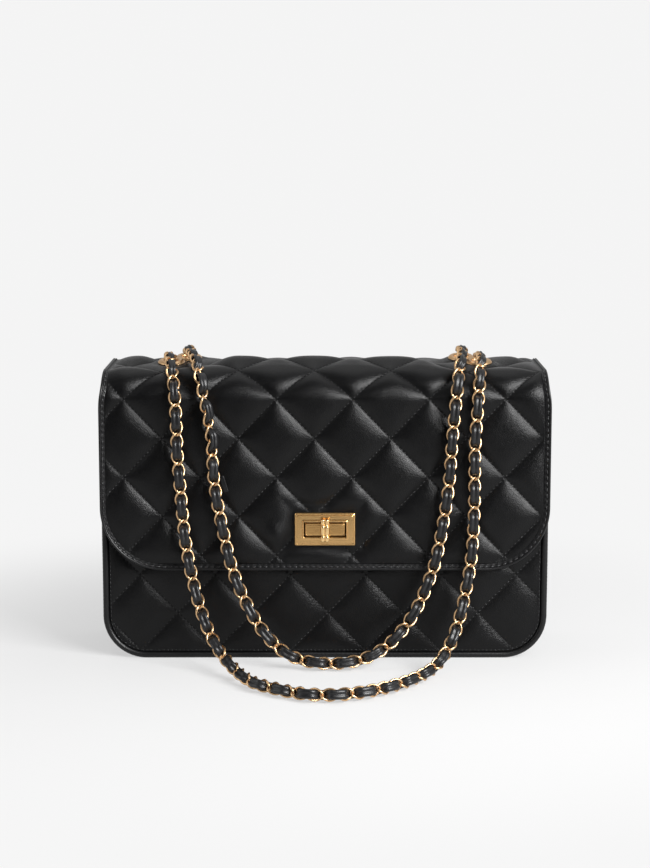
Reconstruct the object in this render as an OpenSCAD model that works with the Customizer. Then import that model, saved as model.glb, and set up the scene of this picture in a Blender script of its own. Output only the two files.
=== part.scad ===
// Chain shoulder bag: a quilted flap bag with a turn lock and a doubled chain strap.
// Millimetres, +Z up, +X to the right, the front faces -Y.
// The origin is on the floor, under the middle of the base.

/* [Body] */
// Outer width of the body over its piping
body_w = 296; // [240:2:340]
// Outer depth of the body from the front panel to the back panel
body_d = 80; // [66:2:96]
// Height of the mouth, where the front and back panels end
mouth_z = 180; // [160:2:200]
// Outer radius of the two lower corners
corner_r = 29; // [20:1:38]
// Thickness of the leather panels
leather_t = 1.6; // [1.2:0.1:2]
// Thickness of the quilting wadding behind a panel
wadding_t = 2.4; // [1.6:0.1:3]
// Thickness of the gusset leather
gusset_t = 1.8; // [1.2:0.1:2.4]
// Diameter of the corded piping
piping_d = 4.4; // [3.4:0.1:5]
// Thickness of the lining
lining_t = 1; // [0.8:0.1:1.4]
// Thickness of the stiff board in the base
base_board_t = 2; // [1.2:0.1:3]
// Gap between two layers that are sewn face to face
layer_gap = 0.2; // [0.1:0.05:0.3]

/* [Quilting] */
// Half of the width of a quilted diamond
quilt_half_w = 25; // [20:0.5:32]
// Half of the height of a quilted diamond
quilt_half_h = 26; // [20:0.5:32]
// Place across the body of a crossing of the body's seams
body_quilt_x = 27; // [0:1:50]
// Height of that crossing above the floor
body_quilt_z = 57; // [40:1:70]
// Place across the flap of a crossing of the flap's seams
flap_quilt_x = 18; // [0:1:50]
// Height of that crossing above the floor
flap_quilt_z = 72; // [60:1:90]
// Place from front to back of a crossing of the seams on the flap's roof
roof_quilt_y = -10; // [-20:1:10]
// Width of a pressed quilting seam
seam_w = 1.2; // [0.8:0.1:1.6]
// Depth of a pressed quilting seam
seam_depth = 0.8; // [0.4:0.1:1]

/* [Facing and pocket] */
// Thickness of the leather facing inside the mouth
facing_t = 1.2; // [0.8:0.1:1.6]
// Height of the leather facing inside the mouth
facing_h = 22; // [14:1:30]
// Width of the slip pocket on the back lining
pocket_w = 160; // [110:2:190]
// Height of the slip pocket
pocket_h = 96; // [70:2:110]
// Height of the slip pocket's bottom edge above the floor
pocket_z = 48; // [40:1:56]
// Thickness of the slip pocket
pocket_t = 1.2; // [0.8:0.1:1.6]

/* [Flap] */
// Rise of the flap's roof above the mouth
roof_rise = 15; // [12:0.5:20]
// Distance of the flap's front face in front of the body's front panel
flap_reach = 10; // [9:0.5:14]
// Height of the flap's lower edge
flap_bottom_z = 62; // [50:1:76]
// Radius of the flap's two lower corners
flap_corner_r = 42; // [30:1:50]
// Radius of the flap's bend from the roof to the front
front_bend_r = 20; // [16:1:24]
// Radius of the flap's bend from the roof to the back
back_bend_r = 10; // [8:0.5:12]
// Thickness of the flap's stiffening board
flap_board_t = 0.8; // [0.5:0.1:1.2]
// Thickness of the flap's lining
flap_lining_t = 1.2; // [0.8:0.1:1.4]
// Width of the bound edge along the flap's sides and bottom
binding_w = 4; // [3:0.5:6]
// Running gap at the fold on which the flap turns
hinge_gap = 0.3; // [0.2:0.05:0.5]

/* [Turn lock] */
// Width of the lock's frame plate
lock_w = 40; // [36:1:48]
// Height of the lock's frame plate
lock_h = 22; // [20:1:26]
// Height of the lock's centre above the floor
lock_z = 90; // [84:1:110]
// Thickness of the frame plate
lock_plate_t = 1.6; // [1.2:0.1:2]
// Width of the raised rim around the window
rim_w = 30; // [28:0.5:32]
// Height of the raised rim around the window
rim_h = 12.4; // [11.6:0.1:14]
// Wall of the raised rim
rim_wall = 1.2; // [0.8:0.1:1.4]
// How far the rim stands out of the plate
rim_proud = 1; // [0.6:0.1:1.4]
// Gap between the window and the block that shows in it
window_gap = 0.5; // [0.3:0.05:0.8]
// Thickness of the two plates behind the leather
back_plate_t = 1; // [0.8:0.1:1.2]
// Length of the turn bar
bar_l = 15.4; // [14:0.2:18]
// Diameter of each of the turn bar's two rods
rod_d = 3; // [2.6:0.1:3.4]
// Diameter of the turn bar's stem
stem_d = 4; // [3:0.1:5]
// Radial clearance of the stem in its bore
stem_clearance = 0.05; // [0.02:0.01:0.1]
// Diameter of the lock's four screws
screw_d = 1.6; // [1.2:0.1:2]

/* [Eyelets] */
// Outer diameter of an eyelet's flange
eyelet_d = 18.2; // [16:0.2:20]
// Diameter of an eyelet's hole
eyelet_hole_d = 10; // [9.6:0.1:11]
// Wall of an eyelet's barrel
eyelet_wall = 1; // [0.8:0.1:1.2]
// Height of an eyelet's domed flange
eyelet_dome = 2; // [1.4:0.1:2.4]
// Distance of the front eyelets from the middle
front_eyelet_x = 103; // [98:1:108]
// Distance by which the back eyelets lie nearer to the middle
eyelet_stagger = 10; // [8:1:14]
// Distance of the back eyelets from the flap's back face
back_eyelet_in = 20; // [19:1:24]
// Distance from the back eyelets to the front ones, from back to front
eyelet_apart = 25; // [22:1:28]
// Height of the chain above the roof where it leaves an eyelet
strap_rise = 5; // [4.6:0.1:6]

/* [Chain strap] */
// Length that one link adds to the chain
link_pitch = 9.65; // [9:0.05:10.4]
// Outer width of a link
link_w = 8.7; // [8.2:0.1:9.2]
// Diameter of the chain's wire
wire_d = 1.4; // [1.1:0.05:1.5]
// Running gap between two links
link_gap = 0.3; // [0.2:0.05:0.4]
// Angle by which each end of a link is twisted
link_twist = 45; // [40:1:48]
// Width of the leather lace
lace_w = 4.6; // [3.6:0.1:4.8]
// Thickness of the leather lace
lace_t = 2; // [1.4:0.1:2]
// How far the lace swings to each side of the chain
lace_swing = 3.9; // [3.8:0.1:4]

/* [Hidden] */
$fn = 48;
cut = 1;
plate_gap = 0.1;
half_w = body_w / 2;
half_d = body_d / 2;
roof_z = mouth_z + roof_rise;

// Layers of the body walls, measured from the outer face inwards
wadding_in = leather_t + layer_gap;
lining_in = wadding_in + wadding_t + layer_gap;
lining_face = lining_in + lining_t;
panel_edge = piping_d + layer_gap;
piping_in = piping_d / 2;
gusset_side_in = 1;
gusset_hw = half_w - gusset_side_in;
gusset_hd = half_d - piping_d - layer_gap;
board_z = gusset_t + layer_gap;
lining_z = board_z + base_board_t + layer_gap;
lining_hw = gusset_hw - gusset_t - layer_gap;
lining_hd = half_d - lining_in;
lining_r = corner_r - gusset_side_in - gusset_t - layer_gap;
pocket_r = 12;

// Layers of the flap, measured from its outer face inwards
flap_wadding_in = leather_t + layer_gap;
flap_board_in = flap_wadding_in + wadding_t + layer_gap;
flap_lining_in = flap_board_in + flap_board_t + layer_gap;
flap_t = flap_lining_in + flap_lining_t;
flap_front_y = -half_d - flap_reach;
flap_edge_z = mouth_z + hinge_gap;
flap_seam_in = 2 * binding_w;

// Turn lock, measured along Y from the flap's outer face
frame_back_y = flap_front_y - plate_gap;
frame_front_y = frame_back_y - lock_plate_t;
rim_front_y = frame_front_y - rim_proud;
rim_r = 1.6;
lock_r = 1;
window_w = rim_w - 2 * rim_wall;
window_h = rim_h - 2 * rim_wall;
block_w = window_w - 2 * window_gap;
block_h = window_h - 2 * window_gap;
block_sunk = 0.4;
block_front_y = rim_front_y + block_sunk;
bar_gap = 0.3;
bar_back_y = rim_front_y - bar_gap;
hole_gap = 0.3;
flap_back_y = flap_front_y + flap_t;
frame_plate_y = flap_back_y + plate_gap;
screw_inset_x = 3.2;
screw_inset_z = 2.9;
screw_grip = 1;
screw_head_r = 1.5;
screw_head_t = 0.8;
base_plate_w = lock_w - 2;
base_plate_h = lock_h - 2;
boss_r = stem_d / 2 + 2;
boss_gap = 0.2;
stem_r = stem_d / 2;
wall_in_y = -half_d + lining_face;
backing_y = wall_in_y + plate_gap;
washer_y = backing_y + back_plate_t + plate_gap;
washer_t = 0.4;
clip_y = washer_y + washer_t + plate_gap;
clip_t = 0.7;
clip_r = stem_r + 1.8;
groove_depth = 0.6;
stem_end_y = clip_y + clip_t + 0.6;
rod_apart = 0.46 * rod_d;
rod_chamfer = 0.5;
web_t = 0.5 * rod_d;
band_shares = [-0.22, 0.22];
band_w = 1;
band_proud = 0.2;

// Eyelets
back_eyelet_x = front_eyelet_x - eyelet_stagger;
back_eyelet_y = half_d - back_eyelet_in;
front_eyelet_y = back_eyelet_y - eyelet_apart;
eyelet_r = eyelet_d / 2;
eyelet_hole_r = eyelet_hole_d / 2;
barrel_r = eyelet_hole_r + eyelet_wall;
barrel_gap = 0.2;
eyelet_washer_t = 1;
eyelet_lip = 1.2;
eyelet_lip_t = 0.8;
roof_in_z = roof_z - flap_t;
eyelet_z = roof_z + plate_gap;
washer_z = roof_in_z - plate_gap - eyelet_washer_t;
lip_z = washer_z - plate_gap - eyelet_lip_t;

// Chain strap. A strap turns on the crown of its first link.
strap_z = roof_z + strap_rise;
hook_z = strap_z + wire_d + link_gap;
crown_out = (wire_d + link_gap) / 2;
link_a = link_pitch / 2 + crown_out;
link_b = (link_w - wire_d) / 2;
link_rings = 10;
wire_sides = 4;
route_steps = 6;
strap_face = [0, -1, 0.3];
inside_face = [1, -0.11, 0];
eyelet_span = [eyelet_stagger, eyelet_apart];
lace_quarter = 0.75;
tab_place = [-68.4, -56, 124];
tab_size = [3.6, 1.2, 11];
tab_tilt = -14;

// Route of the outer strap, from the left front eyelet round to the right one
outer_route = [
    [-front_eyelet_x, front_eyelet_y, strap_z], [-103, -20, 200.6], [-102, -30, 200.8], [-101, -40, 198.8],
    [-99, -48.3, 193.3], [-98, -54, 185], [-97, -56, 174], [-96.5, -56, 157],
    [-96, -56, 139], [-94.5, -56, 119], [-93, -56, 99], [-91, -56.5, 80],
    [-87.5, -57.5, 61], [-82.5, -61, 42], [-76, -68, 26], [-67.5, -79, 14],
    [-57, -94, 7], [-44.5, -114, 5.4], [-31, -131, 5.2], [-16, -142, 5.2],
    [3, -146, 5.2], [23, -140, 5.2], [41, -127, 5.2], [57, -109, 5.4],
    [71, -89, 7.5], [81, -74, 17], [88, -66, 34], [92.5, -60, 52],
    [95.5, -57, 69], [97, -56, 88], [97.5, -56, 107], [97.5, -56, 126],
    [97.5, -56, 145], [98.5, -56, 164], [99.5, -55.2, 178], [100.5, -52, 188.5],
    [101.5, -44.5, 196.6], [102.5, -34, 200.4], [103, -20, 200.6],
    [front_eyelet_x, front_eyelet_y, strap_z]
];

// Route of the inner strap, from the left back eyelet round to the right one
inner_route = [
    [-back_eyelet_x, back_eyelet_y, strap_z], [-92.5, 8, 202.4], [-90, -8, 202.8], [-87, -24, 201.6],
    [-84.5, -36, 200], [-82.5, -46, 195], [-80.5, -53, 187], [-78.5, -56, 176],
    [-75, -56, 158], [-73.5, -56, 141], [-72.5, -56, 124], [-69.5, -56, 104],
    [-65.5, -56, 84], [-61, -56.5, 65], [-54.5, -58, 48], [-46, -61, 32],
    [-35, -65, 18], [-21, -69, 8.5], [-4, -72, 5.4], [13, -72, 5.4],
    [31, -69, 9.5], [46, -65, 20], [58.5, -61, 36], [67, -58, 54],
    [73, -56.5, 72], [76.5, -56, 91], [79.5, -56, 110], [81.5, -56, 129],
    [82.5, -56, 148], [84, -56, 166], [85.5, -54.6, 180], [87, -50, 191.5],
    [88.5, -41, 198.6], [90, -28, 201.4], [91.5, -10, 202.8], [92.5, 8, 202.4],
    [back_eyelet_x, back_eyelet_y, strap_z]
];

// Half of the run inside the bag, as the way gone from one eyelet towards the other beside it,
// and the drop below the strap. The run's middle rises between its two lowest places.
inside_half = [[0, 8], [-0.3, 19.7], [-2.2, 21.3], [7.5, 38]];
inside_middle_drop = 33.7;

function run_place(t, drop) =
    [-front_eyelet_x + t * eyelet_span[0] / norm(eyelet_span),
        front_eyelet_y + t * eyelet_span[1] / norm(eyelet_span), strap_z - drop];

// Route of a run inside the bag, from a front eyelet to the back eyelet beside it
inside_route = [
    [-front_eyelet_x, front_eyelet_y, hook_z],
    for (p = inside_half) run_place(p[0], p[1]),
    run_place(norm(eyelet_span) / 2, inside_middle_drop),
    for (k = [len(inside_half) - 1 : -1 : 0])
        run_place(norm(eyelet_span) - inside_half[k][0], inside_half[k][1]),
    [-back_eyelet_x, back_eyelet_y, hook_z]
];

leather = "#1c1c1f";
cloth = "#1a181b";
foam = "#d9d6cc";
card = "#8f7f66";
gold = "#cfa45a";
old_gold = "#a98a4c";
steel = "#8d8f92";

// Outline in the front view with two rounded lower corners
module rounded_bottom(hw, z0, z1, r) {
    translate([-hw, z0 + r]) square([2 * hw, z1 - z0 - r]);
    translate([-hw + r, z0]) square([2 * (hw - r), z1 - z0]);
    for (side = [-1, 1]) translate([side * (hw - r), z0 + r]) circle(r);
}

// Rectangle around the origin with four rounded corners
module rounded_plate(w, h, r) {
    square([w - 2 * r, h], center = true);
    square([w, h - 2 * r], center = true);
    for (x = [-1, 1], z = [-1, 1]) translate([x * (w / 2 - r), z * (h / 2 - r)]) circle(r);
}

// Front-view outline made solid between two places along Y
module along_y(y0, y1) {
    translate([0, y1, 0]) rotate([90, 0, 0]) linear_extrude(height = y1 - y0) children();
}

// Side-view outline made solid between two places along X
module along_x(x0, x1) {
    translate([x0, 0, 0]) rotate([90, 0, 90]) linear_extrude(height = x1 - x0) children();
}

// Cylinder along Y between two places
module rod_y(r, y0, y1) {
    translate([0, y1, 0]) rotate([90, 0, 0]) cylinder(r = r, h = y1 - y0);
}

// Straight seams of the diamond quilting, as thin bars in the front view
module quilt_lines(x_ref, z_ref, height) {
    slope = atan2(quilt_half_h, quilt_half_w);
    reach = ceil((half_w / quilt_half_w + height / quilt_half_h) / 2) + 1;
    for (side = [-1, 1], i = [-reach : reach])
        translate([x_ref + 2 * i * quilt_half_w, z_ref])
            rotate(side * slope)
                square([4 * (half_w + height), seam_w], center = true);
}

// Panel of the body, of the leather or of the wadding, with its rounded corners
module panel_layer(y0, y1) {
    along_y(y0, y1)
        rounded_bottom(half_w - panel_edge, panel_edge, mouth_z, corner_r - panel_edge);
}

module quilted_panel(y_out, y_in) {
    front = y_out < y_in;
    difference() {
        panel_layer(min(y_out, y_in), max(y_out, y_in));
        along_y(front ? y_out - cut : y_out - seam_depth, front ? y_out + seam_depth : y_out + cut)
            intersection() {
                quilt_lines(body_quilt_x, body_quilt_z, mouth_z);
                rounded_bottom(half_w - 2 * panel_edge, 2 * panel_edge, mouth_z + cut,
                    corner_r - 2 * panel_edge);
            }
    }
}

module front_panel() {
    color(leather) difference() {
        quilted_panel(-half_d, -half_d + leather_t);
        translate([0, 0, lock_z]) rod_y(boss_r + boss_gap, -half_d - cut, -half_d + leather_t + cut);
    }
}

module front_wadding() {
    color(foam) difference() {
        panel_layer(-half_d + wadding_in, -half_d + wadding_in + wadding_t);
        translate([0, 0, lock_z])
            rod_y(boss_r + boss_gap, -half_d, -half_d + wadding_in + wadding_t + cut);
    }
}

module back_panel() {
    color(leather) quilted_panel(half_d, half_d - leather_t);
}

module back_wadding() {
    color(foam) panel_layer(half_d - wadding_in - wadding_t, half_d - wadding_in);
}

module gusset() {
    color(leather) difference() {
        along_y(-gusset_hd, gusset_hd)
            rounded_bottom(gusset_hw, 0, mouth_z, corner_r - gusset_side_in);
        along_y(-gusset_hd - cut, gusset_hd + cut)
            rounded_bottom(gusset_hw - gusset_t, gusset_t, mouth_z + cut,
                corner_r - gusset_side_in - gusset_t);
    }
}

// Corded edge that runs down one side, along the bottom and up the other side
module piping(y) {
    hw = half_w - piping_in;
    r = corner_r - piping_in;
    color(leather) translate([0, y, piping_in]) {
        for (side = [0, 1]) mirror([side, 0, 0]) {
            translate([hw, 0, r]) cylinder(d = piping_d, h = mouth_z - r - piping_in);
            translate([hw - r, 0, r]) rotate([-90, 0, 0])
                rotate_extrude(angle = 90) translate([r, 0]) circle(d = piping_d);
        }
        translate([-hw + r, 0, 0]) rotate([0, 90, 0]) cylinder(d = piping_d, h = 2 * (hw - r));
    }
}

module front_piping() { piping(-half_d + piping_in); }

module back_piping() { piping(half_d - piping_in); }

module base_board() {
    color(card) translate([-half_w + corner_r, -gusset_hd, board_z])
        cube([body_w - 2 * corner_r, 2 * gusset_hd, base_board_t]);
}

module body_lining() {
    color(cloth) difference() {
        along_y(-lining_hd, lining_hd) rounded_bottom(lining_hw, lining_z, mouth_z, lining_r);
        along_y(-lining_hd + lining_t, lining_hd - lining_t)
            rounded_bottom(lining_hw - lining_t, lining_z + lining_t, mouth_z + cut,
                lining_r - lining_t);
        translate([0, 0, lock_z])
            rod_y(boss_r + boss_gap, -lining_hd - cut, -lining_hd + lining_t + cut);
    }
}

module mouth_facing() {
    hw = lining_hw - lining_t - layer_gap;
    hd = lining_hd - lining_t - layer_gap;
    color(leather) difference() {
        translate([-hw, -hd, mouth_z - facing_h]) cube([2 * hw, 2 * hd, facing_h]);
        translate([-hw + facing_t, -hd + facing_t, mouth_z - facing_h - cut])
            cube([2 * (hw - facing_t), 2 * (hd - facing_t), facing_h + 2 * cut]);
    }
}

module inner_pocket() {
    y1 = lining_hd - lining_t - layer_gap;
    color(cloth) along_y(y1 - pocket_t, y1)
        rounded_bottom(pocket_w / 2, pocket_z, pocket_z + pocket_h, pocket_r);
}

// Plate on the front panel with the block that shows in the frame's window
module lock_base() {
    color(old_gold) translate([0, 0, lock_z]) difference() {
        union() {
            along_y(-half_d - plate_gap - back_plate_t, -half_d - plate_gap)
                rounded_plate(base_plate_w, base_plate_h, lock_r);
            along_y(block_front_y, -half_d - plate_gap) rounded_plate(block_w, block_h, lock_r);
            rod_y(boss_r, -half_d - plate_gap - cut, backing_y + back_plate_t);
        }
        rod_y(stem_r + stem_clearance, block_front_y - cut, backing_y + back_plate_t + cut);
    }
}

module lock_backing_plate() {
    color(steel) translate([0, 0, lock_z]) difference() {
        along_y(backing_y, backing_y + back_plate_t) rounded_plate(block_w, lock_h - rim_wall, lock_r);
        rod_y(boss_r + stem_clearance, backing_y - cut, backing_y + back_plate_t + cut);
    }
}

// Two rods with chamfered ends, side by side on a web, pinched together by two bands
module turn_bar() {
    rod_y_at = bar_back_y - rod_d / 2;
    straight_l = bar_l - 2 * rod_chamfer;
    color(old_gold) translate([0, 0, lock_z]) difference() {
        union() {
            for (side = [-1, 1]) translate([side * rod_apart, rod_y_at, 0]) {
                cylinder(d = rod_d, h = straight_l, center = true);
                for (end = [0, 1]) mirror([0, 0, end]) translate([0, 0, straight_l / 2])
                    cylinder(r1 = rod_d / 2, r2 = rod_d / 2 - rod_chamfer, h = rod_chamfer);
                for (share = band_shares) translate([0, 0, share * bar_l])
                    cylinder(r = rod_d / 2 + band_proud, h = band_w, center = true);
            }
            translate([0, rod_y_at, 0]) cube([2 * rod_apart, web_t, straight_l], center = true);
        }
        rod_y(stem_r, rod_y_at, bar_back_y + band_proud + cut);
    }
}

module turn_stem() {
    color(steel) translate([0, 0, lock_z]) difference() {
        rod_y(stem_r, bar_back_y - rod_d / 2, stem_end_y);
        difference() {
            rod_y(stem_r + cut, clip_y - plate_gap / 2, clip_y + clip_t + plate_gap / 2);
            rod_y(stem_r - groove_depth, clip_y - cut, clip_y + clip_t + cut);
        }
    }
}

module turn_washer() {
    color(steel) translate([0, 0, lock_z]) difference() {
        rod_y(clip_r, washer_y, washer_y + washer_t);
        rod_y(stem_r + stem_clearance, washer_y - cut, washer_y + washer_t + cut);
    }
}

// Open snap ring in the stem's groove
module turn_clip() {
    color(steel) translate([0, 0, lock_z]) difference() {
        rod_y(clip_r, clip_y, clip_y + clip_t);
        rod_y(stem_r - groove_depth + stem_clearance, clip_y - cut, clip_y + clip_t + cut);
        translate([-stem_r / 2, clip_y - cut, -clip_r - cut])
            cube([stem_r, clip_t + 2 * cut, clip_r + cut]);
    }
}

// Side-view outline of the flap at a depth under its outer face
module flap_profile(depth, z0) {
    y0 = flap_front_y + depth;
    y1 = half_d - depth;
    z1 = roof_z - depth;
    r0 = front_bend_r - depth;
    r1 = back_bend_r - depth;
    translate([y0, z0]) square([r0, z1 - r0 - z0]);
    translate([y0 + r0, z0]) square([y1 - y0 - r0 - r1, z1 - z0]);
    translate([y1 - r1, z0]) square([r1, z1 - r1 - z0]);
    translate([y0 + r0, z1 - r0]) circle(r0);
    translate([y1 - r1, z1 - r1]) circle(r1);
}

// One layer of the flap between two depths, as wide as the outline less an inset
module flap_layer(from, to, inset, back_y = half_d) {
    hw = half_w - inset;
    intersection() {
        along_x(-hw, hw) difference() {
            flap_profile(from, flap_bottom_z);
            flap_profile(to, flap_bottom_z - cut);
            translate([flap_front_y + front_bend_r, flap_bottom_z - cut])
                square([body_d + flap_reach, flap_edge_z - flap_bottom_z + cut]);
            translate([back_y, flap_bottom_z]) square([body_d, roof_z]);
        }
        along_y(flap_front_y - cut, half_d + cut)
            rounded_bottom(hw, flap_bottom_z + inset, roof_z + cut, flap_corner_r - inset);
    }
}

// Holes through the flap for the eyelets' barrels, the lock's rim and its screws
module flap_holes() {
    for (side = [-1, 1]) {
        translate([side * front_eyelet_x, front_eyelet_y, roof_in_z - cut])
            cylinder(r = barrel_r + barrel_gap, h = flap_t + 2 * cut);
        translate([side * back_eyelet_x, back_eyelet_y, roof_in_z - cut])
            cylinder(r = barrel_r + barrel_gap, h = flap_t + 2 * cut);
    }
    translate([0, 0, lock_z]) {
        along_y(flap_front_y - cut, flap_back_y + cut)
            rounded_plate(rim_w + 2 * hole_gap, rim_h + 2 * hole_gap, rim_r);
        at_screws() rod_y(screw_d / 2 + hole_gap, flap_front_y - cut, flap_back_y + cut);
    }
}

module at_screws() {
    for (x = [-1, 1], z = [-1, 1])
        translate([x * (lock_w / 2 - screw_inset_x), 0, z * (lock_h / 2 - screw_inset_z)])
            children();
}

module flap_leather() {
    color(leather) difference() {
        flap_layer(0, leather_t, binding_w + layer_gap);
        flap_holes();
        flap_seams();
    }
}

// Quilting seams of the flap, on its flat front and on its roof
module flap_seams() {
    along_y(flap_front_y - cut, flap_front_y + seam_depth) intersection() {
        quilt_lines(flap_quilt_x, flap_quilt_z, roof_z);
        rounded_bottom(half_w - flap_seam_in, flap_bottom_z + flap_seam_in, roof_z - front_bend_r,
            flap_corner_r - flap_seam_in);
    }
    translate([0, 0, roof_z - seam_depth]) linear_extrude(height = seam_depth + cut) intersection() {
        quilt_lines(flap_quilt_x, roof_quilt_y, body_d);
        translate([-half_w + flap_seam_in, flap_front_y + front_bend_r])
            square([body_w - 2 * flap_seam_in, half_d - back_bend_r - flap_front_y - front_bend_r]);
    }
}

module flap_wadding() {
    color(foam) difference() {
        flap_layer(flap_wadding_in, flap_wadding_in + wadding_t, binding_w + layer_gap,
            half_d - back_bend_r);
        flap_holes();
    }
}

module flap_board() {
    color(card) difference() {
        flap_layer(flap_board_in, flap_board_in + flap_board_t, binding_w + layer_gap,
            half_d - back_bend_r);
        flap_holes();
    }
}

module flap_lining() {
    color(cloth) difference() {
        flap_layer(flap_lining_in, flap_t, binding_w + layer_gap);
        flap_holes();
    }
}

module flap_binding() {
    color(leather) difference() {
        flap_layer(0, flap_t, 0);
        along_y(flap_front_y - cut, half_d + cut)
            rounded_bottom(half_w - binding_w, flap_bottom_z + binding_w, roof_z + cut,
                flap_corner_r - binding_w);
    }
}

module lock_frame() {
    screw_end_y = flap_front_y - screw_grip;
    color(old_gold) translate([0, 0, lock_z]) difference() {
        union() {
            along_y(frame_front_y, frame_back_y) rounded_plate(lock_w, lock_h, lock_r);
            along_y(rim_front_y, frame_plate_y) rounded_plate(rim_w, rim_h, rim_r);
        }
        along_y(rim_front_y - cut, frame_plate_y + cut)
            rounded_plate(window_w, window_h, rim_r - rim_wall);
        at_screws() rod_y(screw_d / 2 + plate_gap / 2, screw_end_y - plate_gap, frame_back_y + cut);
    }
}

module lock_frame_back_plate() {
    color(steel) translate([0, 0, lock_z]) difference() {
        along_y(frame_plate_y + plate_gap, frame_plate_y + plate_gap + back_plate_t)
            rounded_plate(lock_w, lock_h, lock_r);
        along_y(frame_plate_y, frame_plate_y + back_plate_t + cut)
            rounded_plate(window_w, window_h, rim_r - rim_wall);
        at_screws() rod_y(screw_d / 2 + plate_gap, frame_plate_y, frame_plate_y + back_plate_t + cut);
    }
}

module lock_screws() {
    head_y = frame_plate_y + plate_gap + back_plate_t + plate_gap / 2;
    color(steel) translate([0, 0, lock_z]) at_screws() {
        rod_y(screw_d / 2, flap_front_y - screw_grip, head_y + screw_head_t / 2);
        rod_y(screw_head_r, head_y, head_y + screw_head_t);
    }
}

// Ring with a domed flange on the roof and a barrel that is rolled over below
module eyelet(x, y) {
    ring_r = (eyelet_r - eyelet_hole_r) / 2;
    color(gold) translate([x, y, 0]) rotate_extrude() {
        intersection() {
            translate([eyelet_hole_r + ring_r, eyelet_z]) scale([1, eyelet_dome / ring_r]) circle(ring_r);
            translate([0, eyelet_z]) square([eyelet_r + cut, eyelet_dome + cut]);
        }
        translate([eyelet_hole_r, lip_z]) square([eyelet_wall, eyelet_z - lip_z + eyelet_dome / 4]);
        translate([eyelet_hole_r, lip_z]) square([eyelet_wall + eyelet_lip, eyelet_lip_t]);
    }
}

module eyelet_front_left() { eyelet(-front_eyelet_x, front_eyelet_y); }

module eyelet_front_right() { eyelet(front_eyelet_x, front_eyelet_y); }

module eyelet_back_left() { eyelet(-back_eyelet_x, back_eyelet_y); }

module eyelet_back_right() { eyelet(back_eyelet_x, back_eyelet_y); }

module eyelet_washers() {
    places = [[front_eyelet_x, front_eyelet_y], [back_eyelet_x, back_eyelet_y]];
    color(steel) for (side = [-1, 1], place = places)
        translate([side * place[0], place[1], washer_z]) difference() {
            cylinder(r = eyelet_r - eyelet_wall / 2, h = eyelet_washer_t);
            translate([0, 0, -cut])
                cylinder(r = barrel_r + plate_gap, h = eyelet_washer_t + 2 * cut);
        }
}

// Smooth curve through the points of a route
function curve(p0, p1, p2, p3, t) =
    0.5 * (2 * p1 + (p2 - p0) * t + (2 * p0 - 5 * p1 + 4 * p2 - p3) * t * t
        + (3 * p1 - p0 - 3 * p2 + p3) * t * t * t);

function smooth(route) = [
    for (i = [0 : len(route) - 2], s = [0 : route_steps - 1])
        curve(route[max(i - 1, 0)], route[i], route[i + 1],
            route[min(i + 2, len(route) - 1)], s / route_steps),
    route[len(route) - 1]
];

// Distance along a route up to each of its points
function distances(points) = [
    for (i = 0, d = 0; i < len(points);
        i = i + 1, d = i < len(points) ? d + norm(points[i] - points[i - 1]) : d) d
];

function place_on(points, along, d) = [
    for (axis = [0 : 2]) lookup(d, [for (i = [0 : len(points) - 1]) [along[i], points[i][axis]]])
];

function unit(v) = v / norm(v);

// Joints of a chain, evenly spaced on its route between its two end crowns
function chain_joints(route) =
    let (
        points = smooth(route),
        along = distances(points),
        whole = along[len(along) - 1] - 2 * crown_out,
        count = round(whole / link_pitch)
    )
    [for (k = [0 : count]) place_on(points, along, crown_out + k * whole / count)];

// Direction that a flat link faces, square to the way the chain runs
function facing(way, face) = unit(face - (face * way) * way);

function link_centre(angle, start_twist, end_twist, half) =
    let (
        x = half * cos(angle),
        y = link_b * sin(angle),
        twist = start_twist + (end_twist - start_twist) * (x / half + 1) / 2
    )
    [x, y * cos(twist), y * sin(twist), twist];

// Twisted oval link between two joints of a chain
module chain_link(from, to, face, start_twist, end_twist) {
    way = unit(to - from);
    out = facing(way, face);
    across = cross(out, way);
    middle = (from + to) / 2;
    half = norm(to - from) / 2 + crown_out;
    points = [
        for (i = [0 : link_rings - 1], j = [0 : wire_sides - 1])
            let (
                angle = i * 360 / link_rings,
                turn = j * 360 / wire_sides,
                c = link_centre(angle, start_twist, end_twist, half),
                flat = cos(c[3]) * across + sin(c[3]) * out,
                up = cos(c[3]) * out - sin(c[3]) * across,
                away = unit([link_b * cos(angle), half * sin(angle)])
            )
            middle + c[0] * way + c[1] * across + c[2] * out
                + wire_d / 2 * (cos(turn) * (away[0] * way + away[1] * flat) + sin(turn) * up)
    ];
    polyhedron(points = points, faces = closed_tube_faces(link_rings, wire_sides));
}

function closed_tube_faces(rings, sides) = [
    for (i = [0 : rings - 1], j = [0 : sides - 1], half = [0, 1])
        let (
            a = i * sides + j,
            b = i * sides + (j + 1) % sides,
            c = ((i + 1) % rings) * sides + (j + 1) % sides,
            d = ((i + 1) % rings) * sides + j
        )
        half == 0 ? [a, b, c] : [a, c, d]
];

// Chain along a route. Its two end links hang straight, so that they turn freely.
module chain(route, face) {
    joints = chain_joints(route);
    last = len(joints) - 2;
    for (k = [0 : last])
        chain_link(joints[k], joints[k + 1], face,
            k == 0 ? 0 : -link_twist, k == last ? 0 : link_twist);
}

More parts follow.
